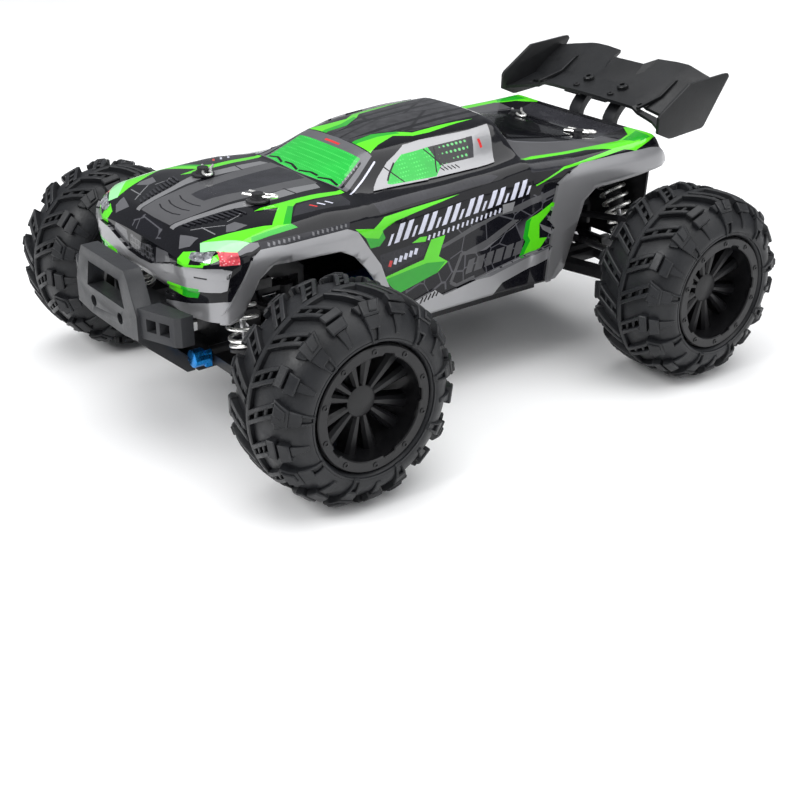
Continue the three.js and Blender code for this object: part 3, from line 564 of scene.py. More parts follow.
def wheels():
    for end, ahead in ENDS.items():
        for side, hand in SIDES.items():
            place = Matrix.Translation((hand * WHEEL_X, ahead * AXLE_D, AXLE_Z)) @ Matrix.Diagonal(
                (hand, 1, 1, 1))
            name = f"{end}_{side}"
            for part, source, slot, look in (("tyre", TYRE, "tyre", RUBBER),
                                             ("rim", RIM, "rim", RIM_BLACK)):
                bm = source.copy()
                bmesh.ops.transform(bm, matrix=place, verts=bm.verts)
                piece(f"{part}_{name}", bm, f"{name}_wheel", [look], [f"{name}_{part}"], 30)


TYRE = tyre_mesh()
RIM = rim_mesh()
wheels()

# ---- Suspension ----------------------------------------------------------------------------------

SHOCK_D = 12
SHOCK_LOW = (44, 38.4)
SHOCK_TOP = {"front": (33.5, 80), "rear": (24.5, 73)}
COLLAR = 7.6
SEAT = 6
SPRING_R = 5.7
SPRING_WIRE_R = 0.78
BORE_R = 1.6  # the shock body's, around the rod
LEVER_TOP = 39.7  # the top of the knuckle's lever, under the pin of the tie rod


def corner_matrix(end, side):
    hand, ahead = SIDES[side], ENDS[end]
    return Matrix.Translation((0, ahead * AXLE_D, 0)) @ Matrix.Diagonal((hand, ahead, 1, 1))


def shock_axis(end):
    top = Vector((SHOCK_TOP[end][0], SHOCK_D, SHOCK_TOP[end][1]))
    low = Vector((SHOCK_LOW[0], SHOCK_D, SHOCK_LOW[1]))
    return top, low, (low - top).normalized()


def spring(end, side):
    top, low, down = shock_axis(end)
    length = (low - top).length
    a, b = Vector((down.z, 0, -down.x)), Vector((0, 1, 0))
    start, stop = COLLAR + 0.9, length - SEAT - 0.9
    turns, dead = 7.5, 0.75
    line = []
    count = 200
    for i in range(count + 1):
        t = i / count
        turn = t * turns
        # the first and last coils lie flat
        rise = min(max((turn - dead) / (turns - 2 * dead), 0), 1)
        along = start + 0.15 * min(turn, dead) + rise * (stop - start - 0.3 * dead)
        angle = 2 * math.pi * turn
        line.append(top + down * along + SPRING_R * (math.cos(angle) * a + math.sin(angle) * b))
    bm = bmesh.new()
    wire(bm, SPRING_WIRE_R, line)
    bmesh.ops.transform(bm, matrix=corner_matrix(end, side), verts=bm.verts)
    made = piece(f"spring_{end}_{side}", bm, None, [CHROME],
                 [f"{end}_{side}_spring"], 60)
    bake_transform(made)


def shock(end, side):
    top, low, down = shock_axis(end)
    length = (low - top).length
    name = f"{end}_{side}"
    bm = bmesh.new()

    def at(distance):
        return top + down * distance

    # the cylinder with its cap, spring collar, thread rings and bore
    first, last = 2, 21
    profile = [(first, 3.6), (first + 0.6, 4.3), (5.8, 4.3), (6, 5.8), (6.3, 6.4), (7.3, 6.4),
               (COLLAR, 6)]
    for k in range(6):
        profile += [(8 + 1.2 * k, 3.7), (8.5 + 1.2 * k, 4.05), (9 + 1.2 * k, 3.7)]
    profile += [(last - 0.6, 3.7), (last, 3.2), (last, BORE_R), (first + 2, BORE_R)]
    rod(bm, [((d - first) / (last - first), r) for d, r in profile], at(first), at(last), 24)
    for y in (-1.6, 1.6):
        rod(bm, [(0, 3.3), (0.5, 3.4), (1, 3.3)], (top.x, top.y + y * 0.5, top.z),
            (top.x, top.y + y, top.z), 24)
    bar(bm, 3.4, (top.x, top.y - 1.6, top.z), (top.x, top.y + 1.6, top.z), 24)
    bmesh.ops.transform(bm, matrix=corner_matrix(end, side), verts=bm.verts)
    piece(f"shock_{name}", bm, f"{name}_shock", [NYLON], [f"{name}_shock_body"])
    bm = bmesh.new()
    bar(bm, 1.2, at(14), at(length - 2.5), 16)
    rod(bm, [(0, 5.9), (0.2, 6.4), (0.85, 6.4), (1, 5.4)], at(length - SEAT),
        at(length - SEAT + 1.5), 28, material=1)
    rod(bm, [(0, 3.4), (1, 2.6)], at(length - SEAT + 1.2), at(length - 1.5), 16, material=1)
    bar(bm, 3.2, (low.x, low.y - 1.4, low.z), (low.x, low.y + 1.4, low.z), 24, material=1)
    bmesh.ops.transform(bm, matrix=corner_matrix(end, side), verts=bm.verts)
    piece(f"shock_rod_{name}", bm, f"{name}_rod", [STEEL, NYLON], [f"{name}_shock_rod"])


def links():
    for end in ENDS:
        for side in SIDES:
            name = f"{end}_{side}"
            shock(end, side)
            spring(end, side)
            parts = ["lower_arm", "upper_link", "driveshaft",
                     "caster_block" if end == "front" else "hub_carrier"]
            if end == "front":
                parts += ["knuckle", "tie_rod"]
            for part in parts:
                cad = f"{name}_{part}"
                slot = SLOT_OF[cad]
                bm = smooth_copy(cad)
                if part == "knuckle":  # a slimmer pin, so that it clears the tie rod's eye
                    pin = [v for v in bm.verts if v.co.y > 8 - AXLE_D and v.co.z > LEVER_TOP]
                    centre = sum((v.co for v in pin), Vector()) / len(pin)
                    for v in pin:
                        v.co.x = centre.x + (v.co.x - centre.x) * 0.5
                        v.co.y = centre.y + (v.co.y - centre.y) * 0.5
                piece(f"{part}_{name}", bm, BODY_OF[cad], [BY_SLOT[slot]], [cad])
            fasteners = bmesh.new()
            top = shock_axis(end)[0]
            socket_screw(fasteners, (top.x, top.y + 2.2, top.z), (0, 1, 0), 2.3, 1.4)
            bmesh.ops.transform(fasteners, matrix=corner_matrix(end, side), verts=fasteners.verts)
            piece(f"shock_screw_{name}", fasteners, "chassis", [STEEL])


links()

# ---- Chassis parts -------------------------------------------------------------------------------


BRACE_COLLAR = 8.5  # length of each blue end of the front brace


def chassis_parts():
    for cad in ("chassis_plate", "front_gearbox", "rear_gearbox", "front_shock_tower",
                "rear_shock_tower", "steering_servo", "servo_horn", "steering_rack",
                "receiver_box", "battery_pack", "motor", "wing_stay"):
        slot = SLOT_OF[cad]
        piece(f"{cad}_look", smooth_copy(cad, 0.3), BODY_OF[cad], [BY_SLOT[slot]], [cad])
    for end in ENDS:
        cad = f"{end}_pin_brace"
        bm = smooth_copy(cad, 0.3)
        low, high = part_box(cad)
        collar = (high.x - low.x) / 2 / MM - BRACE_COLLAR
        for face in bm.faces:
            blue = end == "front" and abs(face.calc_center_median().x) >= collar
            face.material_index = 1 if blue else 0
        piece(f"{cad}_look", bm, "chassis", [NYLON, BLUE], [cad])
    # these three stay as they are, with a better material on the object's own slot
    for cad in ("centre_shaft", "spur_gear", "pinion_gear"):
        held = NODES[cad].material_slots[0]
        held.link = "OBJECT"
        held.material = BY_SLOT[SLOT_OF[cad]]


chassis_parts()

# ---- Wing, tail guard and body clips -----------------------------------------------------------

WING_T = 1.3
# Distance from the middle, then (y, z) at the lip, both sides of the slot, the fold, the slope and
# the trailing edge.
WING_LINES = [
    (0, (109, 99.6), (112.5, 99.8), (115.5, 100.2), (125.5, 102.4), (131, 106.2), (136, 110.6)),
    (9.6, (109, 99.6), (112.5, 99.8), (115.5, 100.2), (125.5, 102.4), (131, 106.2), (136, 110.6)),
    (12, (109, 99.4), (112.5, 99.6), (115.5, 100), (125.5, 102.4), (134, 107.6), (143, 112.3)),
    (22, (109.5, 99.2), (112.5, 99.4), (115.5, 99.8), (125.5, 102), (134, 107.6), (144.6, 112.5)),
    (29, (109.8, 98.8), (112.6, 99), (115.6, 99.4), (125.5, 101.6), (134, 107.4), (144.6, 112.5)),
    (32, (110, 97), (112.8, 97.4), (115.8, 98), (125, 101), (134, 107), (143.5, 112.4)),
    (42, (109, 95.2), (112.8, 95.8), (115.8, 96.6), (124.5, 99.2), (133, 105.4), (142, 110.6)),
    (50.4, (105, 93.6), (111, 94.4), (115, 95.4), (124, 97.6), (132, 103.6), (141, 108.9)),
]
WING_SLOT = (4, 5)  # the panels on each side, between these lines, that the slot takes out
PLATE_X = (50.2, 51.8)  # inner and outer face of an end plate
PLATE_OUTLINE = [(103.2, 99), (104.4, 100.6), (120.9, 111.3), (142.6, 112.7), (145.2, 112.7),
                 (146.1, 111.3), (132.4, 91.3), (130.8, 90.4), (112.2, 88.9), (110.4, 89),
                 (103, 92.3)]


def sheet(bm, grid, holes, drop):
    """A thin plate: the panels of a grid of points, but for the holes, with a wall around it."""
    above = [[bm.verts.new(p) for p in row] for row in grid]
    below = [[bm.verts.new(Vector(p) - Vector((0, 0, drop))) for p in row] for row in grid]
    kept = [(i, j) for i in range(len(grid) - 1) for j in range(len(grid[0]) - 1)
            if (i, j) not in holes]
    sides = {}
    for i, j in kept:
        loop = [(i, j), (i, j + 1), (i + 1, j + 1), (i + 1, j)]
        bm.faces.new([above[a][b] for a, b in loop])
        bm.faces.new([below[a][b] for a, b in reversed(loop)])
        for start, end in zip(loop, [*loop[1:], loop[0]]):
            if (end, start) in sides:
                del sides[end, start]
            else:
                sides[start, end] = True
    for (a, b), (c, d) in sides:
        bm.faces.new((above[a][b], below[a][b], below[c][d], above[c][d]))


def wing():
    right = [(-x, *chord) for x, *chord in reversed(WING_LINES[1:])]
    lines = [*right, *WING_LINES]
    grid = [[(x, y, z) for y, z in chord] for x, *chord in lines]
    centre = len(right)
    holes = {(centre + k, 1) for k in WING_SLOT} | {(centre - 1 - k, 1) for k in WING_SLOT}
    bm = bmesh.new()
    sheet(bm, grid, holes, WING_T)
    for hand in SIDES.values():
        prism(bm, "x", PLATE_OUTLINE, hand * PLATE_X[0], hand * PLATE_X[1], 0.35)
        # the lip's lower plate, a rib under the slope and the screws into the stay
        block(bm, (hand * 9 - 4.5, 108.8, 97.4), (hand * 9 + 4.5, 110.4, 98.6), 0.2)
        rib = [(110, 97.8), (125, 100.6), (135, 107.4), (133, 107.6), (124, 102), (110, 99)]
        prism(bm, "x", rib, hand * 32 - 0.6, hand * 32 + 0.6, 0.15)
        socket_screw(bm, (hand * 11, 122, 101.9), (0, -0.3, 1), 2.6, 1.6)
        socket_screw(bm, (hand * 11, 114.2, 100.1), (0, -0.1, 1), 1.5, 0.8)
    piece("wing_look", bm, "chassis", [WING], ["wing"], 20)


def tail_guard():
    """The upright black panel behind the rear suspension."""
    bm = bmesh.new()
    half = [(0, 30), (10.5, 30), (10.5, 38.2), (26, 38.2), (38, 50), (43, 62), (44.5, 83),
            (30, 88.6), (0, 88.4)]
    prism(bm, "y", mirrored(half[::-1]), 107.2, 108.4, 0.2)
    for hand in SIDES.values():
        for x in (15, 30):
            bar(bm, 1, (hand * x, 106.4, 76), (hand * x, 109.2, 76), 12)
    piece("tail_guard", bm, "chassis", [NYLON])


def front_brace():
    """Two ribs and a web from the front shock tower back towards the servo."""
    bm = bmesh.new()
    for hand in SIDES.values():
        prism(bm, "x", [(-76, 66), (-60, 60.5), (-51, 54), (-51, 43.9), (-54, 43.9),
                        (-54, 51.2), (-64, 51.2), (-76, 55)],
              hand * 6 - 0.8, hand * 6 + 0.8, 0.2)
    skin(bm, [[(x, y, z) for y, z in ((-76, 66), (-60, 60.5), (-60, 59.3), (-76, 64.8))]
              for x in (-5.3, 5.3)])
    piece("front_brace", bm, "chassis", [NYLON])


POST_TOPS = {"front": (20.7, -79.3, 92.2), "rear": (20.9, 85.7, 89.6)}
CLIP_LINE = [(-6.5, 0, 0), (3.5, 0, 0), (6.2, 0.6, 0), (7.4, 1.9, 0), (6.2, 3.2, 0), (4, 3.3, 0),
             (2.4, 2.7, 0), (0.6, 3.2, 0), (-1, 2.6, 0), (-2.8, 3.4, 0), (-6, 4.2, 0)]
CLIP_TURN = 28  # degrees, outwards on both sides


def body_clips():
    """Wire clips through the posts that stick out of the shell, each on a small washer."""
    for end, (x, y, top) in POST_TOPS.items():
        bm = bmesh.new()
        for hand in SIDES.values():
            place = Matrix.Translation((hand * x, y, top)) @ Matrix.Rotation(
                hand * math.radians(CLIP_TURN), 4, "Z")
            wire(bm, 0.55, [place @ p for p in curve(CLIP_LINE, 4)], material=1)
            foot = place @ Vector((0, 0, -1.9))
            rod(bm, [(0, 4.6), (0.7, 4.6), (1, 3.9)], foot, foot + Vector((0, 0, 0.9)), 20)
            rod(bm, [(0, 3.2), (1, 2.8)], foot, foot + Vector((0, 0, 1.7)), 16)
        piece(f"body_clips_{end}", bm, "chassis", [NYLON, CHROME], sharp=40)


wing()
tail_guard()
front_brace()
body_clips()

# ---- Front bumper --------------------------------------------------------------------------------


def bumper():
    piece("front_bumper_look", smooth_copy("front_bumper", 0.55), "chassis",
          [BUMPER], ["front_bumper"])


bumper()

# ---- Body shell ----------------------------------------------------------------------------------
# Half sections across the truck, from the centre line out and down: a station y and (x, z) points.

SECTIONS = [
    (-118.4, [(0, 79), (14, 79), (24, 78.5), (30, 78), (33, 77), (34, 75), (34, 68)]),
    (-115, [(0, 82), (14, 82), (26, 81.5), (38, 80.5), (42, 79), (43.5, 76), (43.5, 68)]),
    (-111, [(0, 85.6), (14, 85.3), (27, 84.6), (42, 83.5), (47, 81), (48.7, 77), (48.7, 68)]),
    (-104, [(0, 87.2), (14, 87), (28, 86.4), (43, 86), (48.5, 84.5), (51.5, 81.5), (51.5, 74)]),
    (-88, [(0, 90), (14, 89.8), (28, 89.4), (41, 88.8), (47, 87), (51.5, 83), (52, 74)]),
    (-62, [(0, 91), (14, 91), (27, 90.5), (40, 90), (46, 88.5), (51, 83), (52, 74)]),
    (-47, [(0, 91.3), (16, 91), (28, 90), (37, 89.5), (45, 87.5), (49.5, 83), (50.5, 74)]),
    (-29, [(0, 101.5), (14, 101.3), (24, 100), (36, 89.8), (44.5, 88), (49.5, 83), (50, 74)]),
    (-10, [(0, 104), (16, 103.6), (28, 101.6), (38, 90), (45, 88.5), (49.5, 84), (50, 74)]),
    (15, [(0, 105.6), (18, 105.2), (30, 102.3), (39, 90.5), (45.5, 89.5), (49.5, 85), (50, 74)]),
    (32.8, [(0, 106), (18, 105.6), (26, 102.8), (38, 92), (46, 91), (49.5, 86), (50.5, 74)]),
    (36, [(0, 97.6), (18, 97.5), (29, 97), (40, 90.8), (46, 90.3), (50.5, 86), (51.5, 74)]),
    (60, [(0, 92.8), (16, 92.8), (25, 92.2), (40, 89.4), (46.5, 89.2), (51.5, 86), (52, 74)]),
    (92, [(0, 87), (14, 87), (20, 87.2), (40, 89.3), (46.5, 89.4), (51.2, 86), (52, 74)]),
    (104, [(0, 89.4), (14, 89.4), (28, 89.6), (40, 90), (46.3, 89.8), (50, 85.5), (51, 75)]),
    (108, [(0, 90), (18, 90), (30, 90), (40, 90.3), (45.8, 90), (49, 85), (50, 76)]),
    (114, [(0, 84), (18, 84), (30, 84), (38, 84), (43, 83), (46, 81), (46, 76)]),
]
SHELL_FOOT = 30
SHELL_TRIM = [(-140, 10), (-140, 58), (-110.5, 57.6), (-106.5, 60), (-99, 73.5), (-93.2, 77.5),
              (-64.1, 76.2), (-57.5, 72.6), (-51.8, 66.3), (-44.9, 57), (-35.5, 40), (-18.7, 39),
              (41.7, 39), (46.6, 39.4), (51.2, 43.3), (58, 64.8), (60.1, 71.4), (66, 75.6),
              (84.5, 76.2), (130, 78.5), (130, 10)]
PLANE = {"x": (1, 2), "y": (0, 2), "z": (0, 1)}  # the two axes that an outline is drawn in
# Whether a face with this normal is seen along an axis: from the left, the nose or above.
FACING = {"x": lambda n: n.x > 0.25, "y": lambda n: n.y < -0.25, "z": lambda n: n.z > 0.25}
NEAR = 0.02  # a side of an outline cuts the faces within this distance of its box


def shell_grid():
    stations = []
    for y, points in SECTIONS:
        last = points[-1]
        line = [Vector((x, y, z)) for x, z in points]
        line.append(Vector((last[0] - 0.6, y, last[1] - 16)))
        line.append(Vector((last[0] - 1.5, y, SHELL_FOOT)))
        line = corner_cut(corner_cut(line, 0.22), 0.25)
        stations.append(line)
    columns = [corner_cut([line[i] for line in stations], 0.12) for i in range(len(stations[0]))]
    return [list(row) for row in zip(*columns)]


def inside(outline, a, b):
    hit = False
    for (a0, b0), (a1, b1) in zip(outline, [*outline[1:], outline[0]]):
        if (b0 > b) != (b1 > b) and a < (a1 - a0) * (b - b0) / (b1 - b0) + a0:
            hit = not hit
    return hit


def touches(face, axes, low, high):
    """Whether a face's box meets a rectangle in the plane of two axes."""
    i, j = axes
    points = [v.co for v in face.verts]
    return (min(p[i] for p in points) < high[0] and max(p[i] for p in points) > low[0]
            and min(p[j] for p in points) < high[1] and max(p[j] for p in points) > low[1])


def cut_side(bm, faces, axes, start, end, snap):
    """Cuts the faces that one side of an outline touches. Returns them and what came of them."""
    i, j = axes
    (a0, b0), (a1, b1) = start, end
    low = (min(a0, a1) - NEAR, min(b0, b1) - NEAR)
    high = (max(a0, a1) + NEAR, max(b0, b1) + NEAR)
    near = [f for f in faces if touches(f, axes, low, high)]
    if not near:
        return [], []
    normal, point = Vector((0, 0, 0)), Vector((0, 0, 0))
    normal[i], normal[j] = b1 - b0, a0 - a1
    point[i], point[j] = a0, b0
    geometry = [*near, *{e for f in near for e in f.edges}, *{v for f in near for v in f.verts}]
    result = bmesh.ops.bisect_plane(bm, geom=geometry, dist=snap, plane_co=point,
                                    plane_no=normal.normalized())
    return near, [g for g in result["geom"] if isinstance(g, bmesh.types.BMFace)]


def carve(bm, axis, outline, where):
    """Cuts the faces along an outline that is seen along an axis, and returns those inside it."""
    axes = PLANE[axis]
    low = [min(p[k] for p in outline) - 0.1 for k in (0, 1)]
    high = [max(p[k] for p in outline) + 0.1 for k in (0, 1)]
    bm.normal_update()
    faces = [f for f in bm.faces if FACING[axis](f.normal) and touches(f, axes, low, high)
             and where(f.calc_center_median(), f.normal)]
    for start, end in zip(outline, [*outline[1:], outline[0]]):
        near, fresh = cut_side(bm, faces, axes, start, end, 0.004)
        old = set(near)
        faces = [f for f in faces if f not in old] + fresh
    centres = {f: f.calc_center_median() for f in {f for f in faces if f.is_valid}}
    return [f for f, c in centres.items() if inside(outline, c[axes[0]], c[axes[1]])]


def paint(bm, axis, outline, look, where):
    faces = carve(bm, axis, outline, where)
    for face in faces:
        face.material_index = SHELL_LOOKS.index(look)
    return faces


def painter(bm, axis, where):
    """Paints outlines seen along an axis, on the faces that pass a test of centre and normal."""
    return lambda look, outline: paint(bm, axis, outline, look, where)


def on_side(c, n):
    return c.x > 40


def on_hood(c, n):
    return c.y < -45


def raised(bm, faces, height):
    """Lifts a patch of faces off the surface, with upright walls around it."""
    faces = [f for f in faces if f.is_valid]
    if not faces:
        return
    result = bmesh.ops.extrude_face_region(bm, geom=faces)
    fresh = result["geom"]
    bmesh.ops.delete(bm, geom=[f for f in faces if f.is_valid], context="FACES")
    tops = [g for g in fresh if isinstance(g, bmesh.types.BMFace)]
    push = {}
    for face in tops:
        face.normal_update()
        for v in face.verts:
            push.setdefault(v, Vector()).__iadd__(face.normal * face.calc_area())
    for v, direction in push.items():
        if direction.length > 0:
            v.co += direction.normalized() * height


def band(start, end, width):
    """A thin straight outline between two points."""
    a, b = Vector(start), Vector(end)
    side = Vector((a.y - b.y, b.x - a.x)).normalized() * width / 2
    return [tuple(a + side), tuple(b + side), tuple(b - side), tuple(a - side)]


def hood(bm):
    put = painter(bm, "z", on_hood)
    put("grey", [(0, -112), (11.5, -111.7), (13, -104), (14.5, -80), (16.5, -62), (17, -50),
        (0, -50)])
    put("grey_dark", [(0, -94), (5, -93.5), (8, -75), (9.5, -51), (0, -50)])
    for y in (-106.3, -102.3, -97.5):
        put("black", [(0, y - 1.2), (4.5, y - 0.8), (8.3, y + 0.5), (8, y + 1), (4.2, y - 0.2),
            (0, y - 0.6)])
    put("silver", [(12, -112.3), (15.5, -93), (17.3, -80.5), (16.2, -66), (17.2, -51), (22, -52),
        (22.5, -66), (23.2, -83), (19, -94), (14.8, -112.3)])
    put("black", [(15, -64.8), (24, -63.6), (24, -62.9), (15, -64.1)])
    # louvre panel with its slats
    put("black", [(14.8, -112), (20.6, -91), (29.5, -87.5), (28.5, -95.5), (20.6, -108)])
    for k in range(11):
        t = k / 10
        y = -109 + 19 * t
        x0 = 16.3 + 5.2 * t
        x1 = min(19.5 + 9.5 * t, 28.2)
        slat = put("grey_dark", band((x0, y), (x1, y + 1.1), 0.75))
        raised(bm, slat, 0.45)
    for patch in ([(20.3, -112.5), (29.6, -110), (29.5, -113.7), (25.3, -116)],
                  [(30.2, -98.7), (30.4, -95.2), (36.5, -93.5), (36.7, -99), (35, -101.6)]):
        put("silver_dark", patch)
    for start, end in (((22, -109), (30, -99)), ((24, -105.5), (33, -105)), ((28, -97), (27, -90))):
        put("silver", band(start, end, 0.5))
    put("crackle", [(0, -112.7), (7.1, -112.3), (12.9, -116.9), (0, -117.8)])


def fender(bm):
    put = painter(bm, "z", on_hood)
    put("lime", [(33.1, -110.7), (42.5, -86.7), (30.5, -76.6), (28.2, -85.6), (26.9, -82),
        (27.2, -56), (28.5, -47.2), (31.5, -47.3), (31, -69), (33, -71.5), (44.5, -80),
        (46.9, -78.6), (47.1, -85.8), (47.1, -98.4), (36, -110.5)])
    put("green", [(44.5, -80), (46.9, -78.6), (47.1, -85.8), (47.1, -98.4), (44.6, -97),
        (44.8, -86)])
    put("green", [(33, -71.5), (44.5, -80), (44, -83), (31.5, -73)])
    put("mint", [(32.7, -111.2), (47, -99), (48.6, -106.2), (36.6, -113.5)])
    put("silver_dark", [(47, -99), (47.9, -96.2), (49.3, -96.4), (50, -99.9), (49.6, -104.8),
        (48.6, -105.9)])
    put("grey_dark", [(32.6, -69.9), (32.8, -49.8), (39.5, -50.2), (41.7, -51.8), (40.7, -76.6)])
    for k, y in enumerate((-66, -62.5, -59)):
        put("red" if k == 0 else "white", band((35.5, y), (38.5, y + 1.6), 0.9))


def windshield(bm):
    put = painter(bm, "z", lambda c, n: c.y < -27)
    put("silver_dark", [(0, -28.2), (23.6, -28.6), (25, -31.6), (31.8, -46.4), (28.2, -47),
        (0, -49.5)])
    put("glass", [(0, -32.9), (21.5, -32.6), (26, -46.6), (14, -48.2), (0, -49)])
    put("black", [(22.6, -33.5), (23.8, -33.8), (28.6, -46.2), (27.2, -46.4)])
    for k in range(7):
        y = -35.5 - 1.6 * k
        put("silver", band((22.8 + 0.37 * k, y), (24 + 0.37 * k, y - 0.4), 0.4))
    put("red", [(0, -31.6), (5, -31.6), (5, -30.6), (0, -30.6)])
    put("white", band((26.2, -29), (34.4, -46.6), 0.7))
    # the wipers
    for start, bend, end in (((0.5, -48), (7, -46.2), (12, -46.4)),
                             ((13, -47.2), (19, -45.2), (25, -46))):
        for a, b in ((start, bend), (bend, end)):
            put("black", band(a, b, 1))


def roof(bm):
    top = lambda c, n: -29 < c.y < 34 and c.z > 99.5
    put = painter(bm, "z", top)
    put("roof", [(0, -28.3), (9, -28), (8, -17), (13.5, -8), (17.5, -3), (17.8, 30), (0, 31)])
    for x in (5.4, 11.6):
        paint(bm, "z", [(x, -27), (x + 2.4, -16), (x + 2.4, 31), (x, 31)], "black",
            lambda c, n: top(c, n) and c.x < 15)
    put("lime", [(9.1, -27.9), (22, -28), (18.8, -21.9), (16.2, -12.8), (20.9, -6.4), (21.7, 1.7),
        (20, 25.2), (18.6, 8), (18.3, -4.8), (13.6, -9.5), (8.5, -18)])
    put("green", [(9.1, -27.9), (12, -28), (12.5, -18), (16, -9), (13.6, -9.5), (8.5, -18)])


def bed(bm):
    put = painter(bm, "z", lambda c, n: c.y > 33)
    put("grey", [(30, 34), (31, 92), (41, 92), (42, 34)])
    put("silver_dark", [(30, 34), (29.4, 92), (30.2, 92), (30.8, 34)])
    deck = [(0, 36.8), (29, 36.8), (21, 92), (0, 92)]
    put("black", deck)
    for k in range(26):
        y = 38 + 2.05 * k
        reach = 28.2 - (y - 36.8) * 8 / 55.2
        raised(bm, put("black", [(-0.5, y), (reach, y), (reach, y + 0.95), (-0.5, y + 0.95)]), 0.4)
    put("grey_dark", [(0, 93), (28, 93), (30, 104.5), (0, 104.5)])
    rail = [(42.3, 29.5), (42.9, 68.6), (46.9, 79.3), (50, 92), (47.5, 102), (45.5, 108.5),
        (30, 108.5), (28.5, 106), (37, 100), (41.2, 89.8), (40.2, 70), (40.2, 40)]
    put("lime", rail)
    put("green", [(41.5, 92), (47, 96), (45.5, 105), (36, 106)])


def nose(bm):
    front = lambda c, n: c.y < -100
    put = painter(bm, "y", front)
    # headlight, lime around it, red block
    paint(bm, "x", [(-118.6, 76.9), (-116, 80.4), (-114.3, 81.7), (-109.7, 84.6), (-108, 83.4),
        (-113, 80), (-115.4, 78.6), (-118.6, 78)], "lime", front)
    put("lime", [(27.8, 76.4), (28.4, 80.4), (34, 81.8), (34.6, 77.6), (41.3, 78.8), (41.3, 78),
        (33, 76.6)])
    lamp = put("lamp", [(33.4, 79.5), (32.5, 81.1), (42.6, 83.2), (43.5, 79.9), (36, 79.2)])
    paint(bm, "x", [(-110.3, 83.4), (-105, 83.6), (-105.4, 79.8), (-111.6, 79.5)], "lamp_red",
        lambda c, n: c.y < -100 and c.x > 40)
    raised(bm, lamp, 0.3)
    # the bar across the front, wrapped to the sides
    put("black", [(0, 64.5), (0, 79), (24, 80), (27, 76), (26, 66.4)])
    put("silver_dark", [(10.5, 71.4), (12, 78), (21, 78.6), (22.5, 75.4)])
    put("grille", [(0, 71), (0, 76.2), (8.6, 77.6), (10, 71.2)])
    bar_top = put("silver", [(0, 68), (0, 70.4), (9, 71), (25, 75.6), (47.9, 78.6), (49.6, 77.8),
        (49.3, 75), (26, 72.4), (9, 68.4)])
    bar_low = put("silver", [(0, 68), (9, 68.4), (26, 72.4), (49.3, 75), (49, 70.8), (47.7, 70),
        (26, 67.2), (9, 65), (0, 64.6)])
    raised(bm, bar_top, 1.3)
    raised(bm, bar_low, 0.8)
    raised(bm, put("black", band((39, 74.4), (44.4, 74.8), 0.5)), 0.1)
    put("lime", [(20, 64.5), (20.4, 67.5), (34, 69.4), (40.3, 69.9), (38.6, 66), (31, 64.8)])
    put("green", [(30, 64.8), (31, 69), (40.3, 69.9), (38.6, 66)])


def valance(bm):
    paint(bm, "y", [(17, 58.9), (30, 62), (48, 66.1), (56, 66), (56, 50), (10, 50), (10, 58.9)],
          "silver", lambda c, n: c.y < -104)


def side_top(bm):
    put = painter(bm, "x", on_side)
    put("grey_dark", [(-96, 85.4), (-56.7, 85), (-58.1, 83.1), (-96.3, 83.5)])
    for k in range(17):
        y = -93 + 2.1 * k
        if k in (7, 8):  # a gap in the row
            continue
        tick = band((y, 83.8), (y + 0.5, 84.8), 0.85)
        put("silver_dark", tick)
    paint(bm, "x", [(-42.5, 87.8), (-3.7, 88.8), (14.2, 89.2), (17.3, 88.4), (12.7, 87),
        (-17.5, 86.1), (-41.8, 84.9)], "grey_dark", lambda c, n: c.x > 38.5)
    put("grey_dark", [(33.9, 90.8), (54.7, 89.4), (58, 88.8), (57.6, 87.4), (50.2, 86.3),
        (33.4, 87.3)])
    put("lime", [(34.6, 81.8), (50, 86.1), (60, 86.6), (97, 88.4), (99.6, 89.7), (58.7, 87.4),
        (50.4, 87), (34.6, 82.4)])


def side_lightning(bm):
    put = painter(bm, "x", on_side)
    put("lime", [(-55.4, 82.2), (-46.6, 80.4), (-40.9, 83.6), (-16.2, 84.9), (-4.1, 85.4),
        (-18.5, 83.6), (-36.3, 81.3), (-42.8, 79), (-41.5, 75.8), (-44.4, 73.2), (-48.8, 73.3),
        (-50.9, 77.9)])
    put("green", [(-50.9, 77.9), (-44.6, 76.2), (-42, 79.1), (-36.3, 81.8), (-42.8, 79),
        (-41.5, 75.8), (-44.4, 73.2), (-48.8, 73.3)])
    put("lime", [(-28.6, 70.9), (-24.6, 72.5), (-21.3, 72.1), (-22, 70.1)])
    put("grey_dark", [(-44.3, 69.5), (-24.5, 70.4), (-20.8, 68.9), (-22.7, 64.5), (-40.6, 61.4),
        (-43.9, 66.3)])
    for k in range(6):
        y = -39.5 + 2.5 * k
        z = 63.6 + 0.45 * k
        put("red" if k == 0 else "white", band((y, z), (y + 0.8, z + 2.4), 1.5))
    put("lime", [(-19.2, 70.3), (-12.2, 70.7), (-15.1, 62.4), (-10.4, 59.2), (-15.7, 55.5),
        (-34.6, 51.2), (-38.8, 55.4), (-42.1, 59.7), (-22.6, 62.7)])
    put("green", [(-41.3, 58.8), (-20.9, 60.9), (-11.6, 59.5), (-15.7, 55.5), (-34.6, 51.2),
        (-38.8, 55.4)])


def lettering(bm):
    """Rows of slanted strokes, where the original has words."""
    put = painter(bm, "x", on_side)
    rise = 0.094
    y = -40.6
    for k in range(19):
        width = 2.4 if k % 3 else 1.2
        z0 = 72.4 + (y + 40.6) * rise
        height = (7.2 if k % 3 else 4.2) - (y + 40.6) * 0.012
        slant = 3.4 * height / 7.2
        outline = [(y, z0), (y + width, z0 + width * rise),
            (y + width + slant, z0 + height + width * rise), (y + slant, z0 + height)]
        raised(bm, put("white", outline), 0.12)
        y += width + 1.9
    for k in range(16):
        y = -20.5 + 2.4 * k
        z = 70.4 + 0.1 * (y + 20.5)
        put("white", band((y, z), (y + 0.6, z + 2), 0.9))


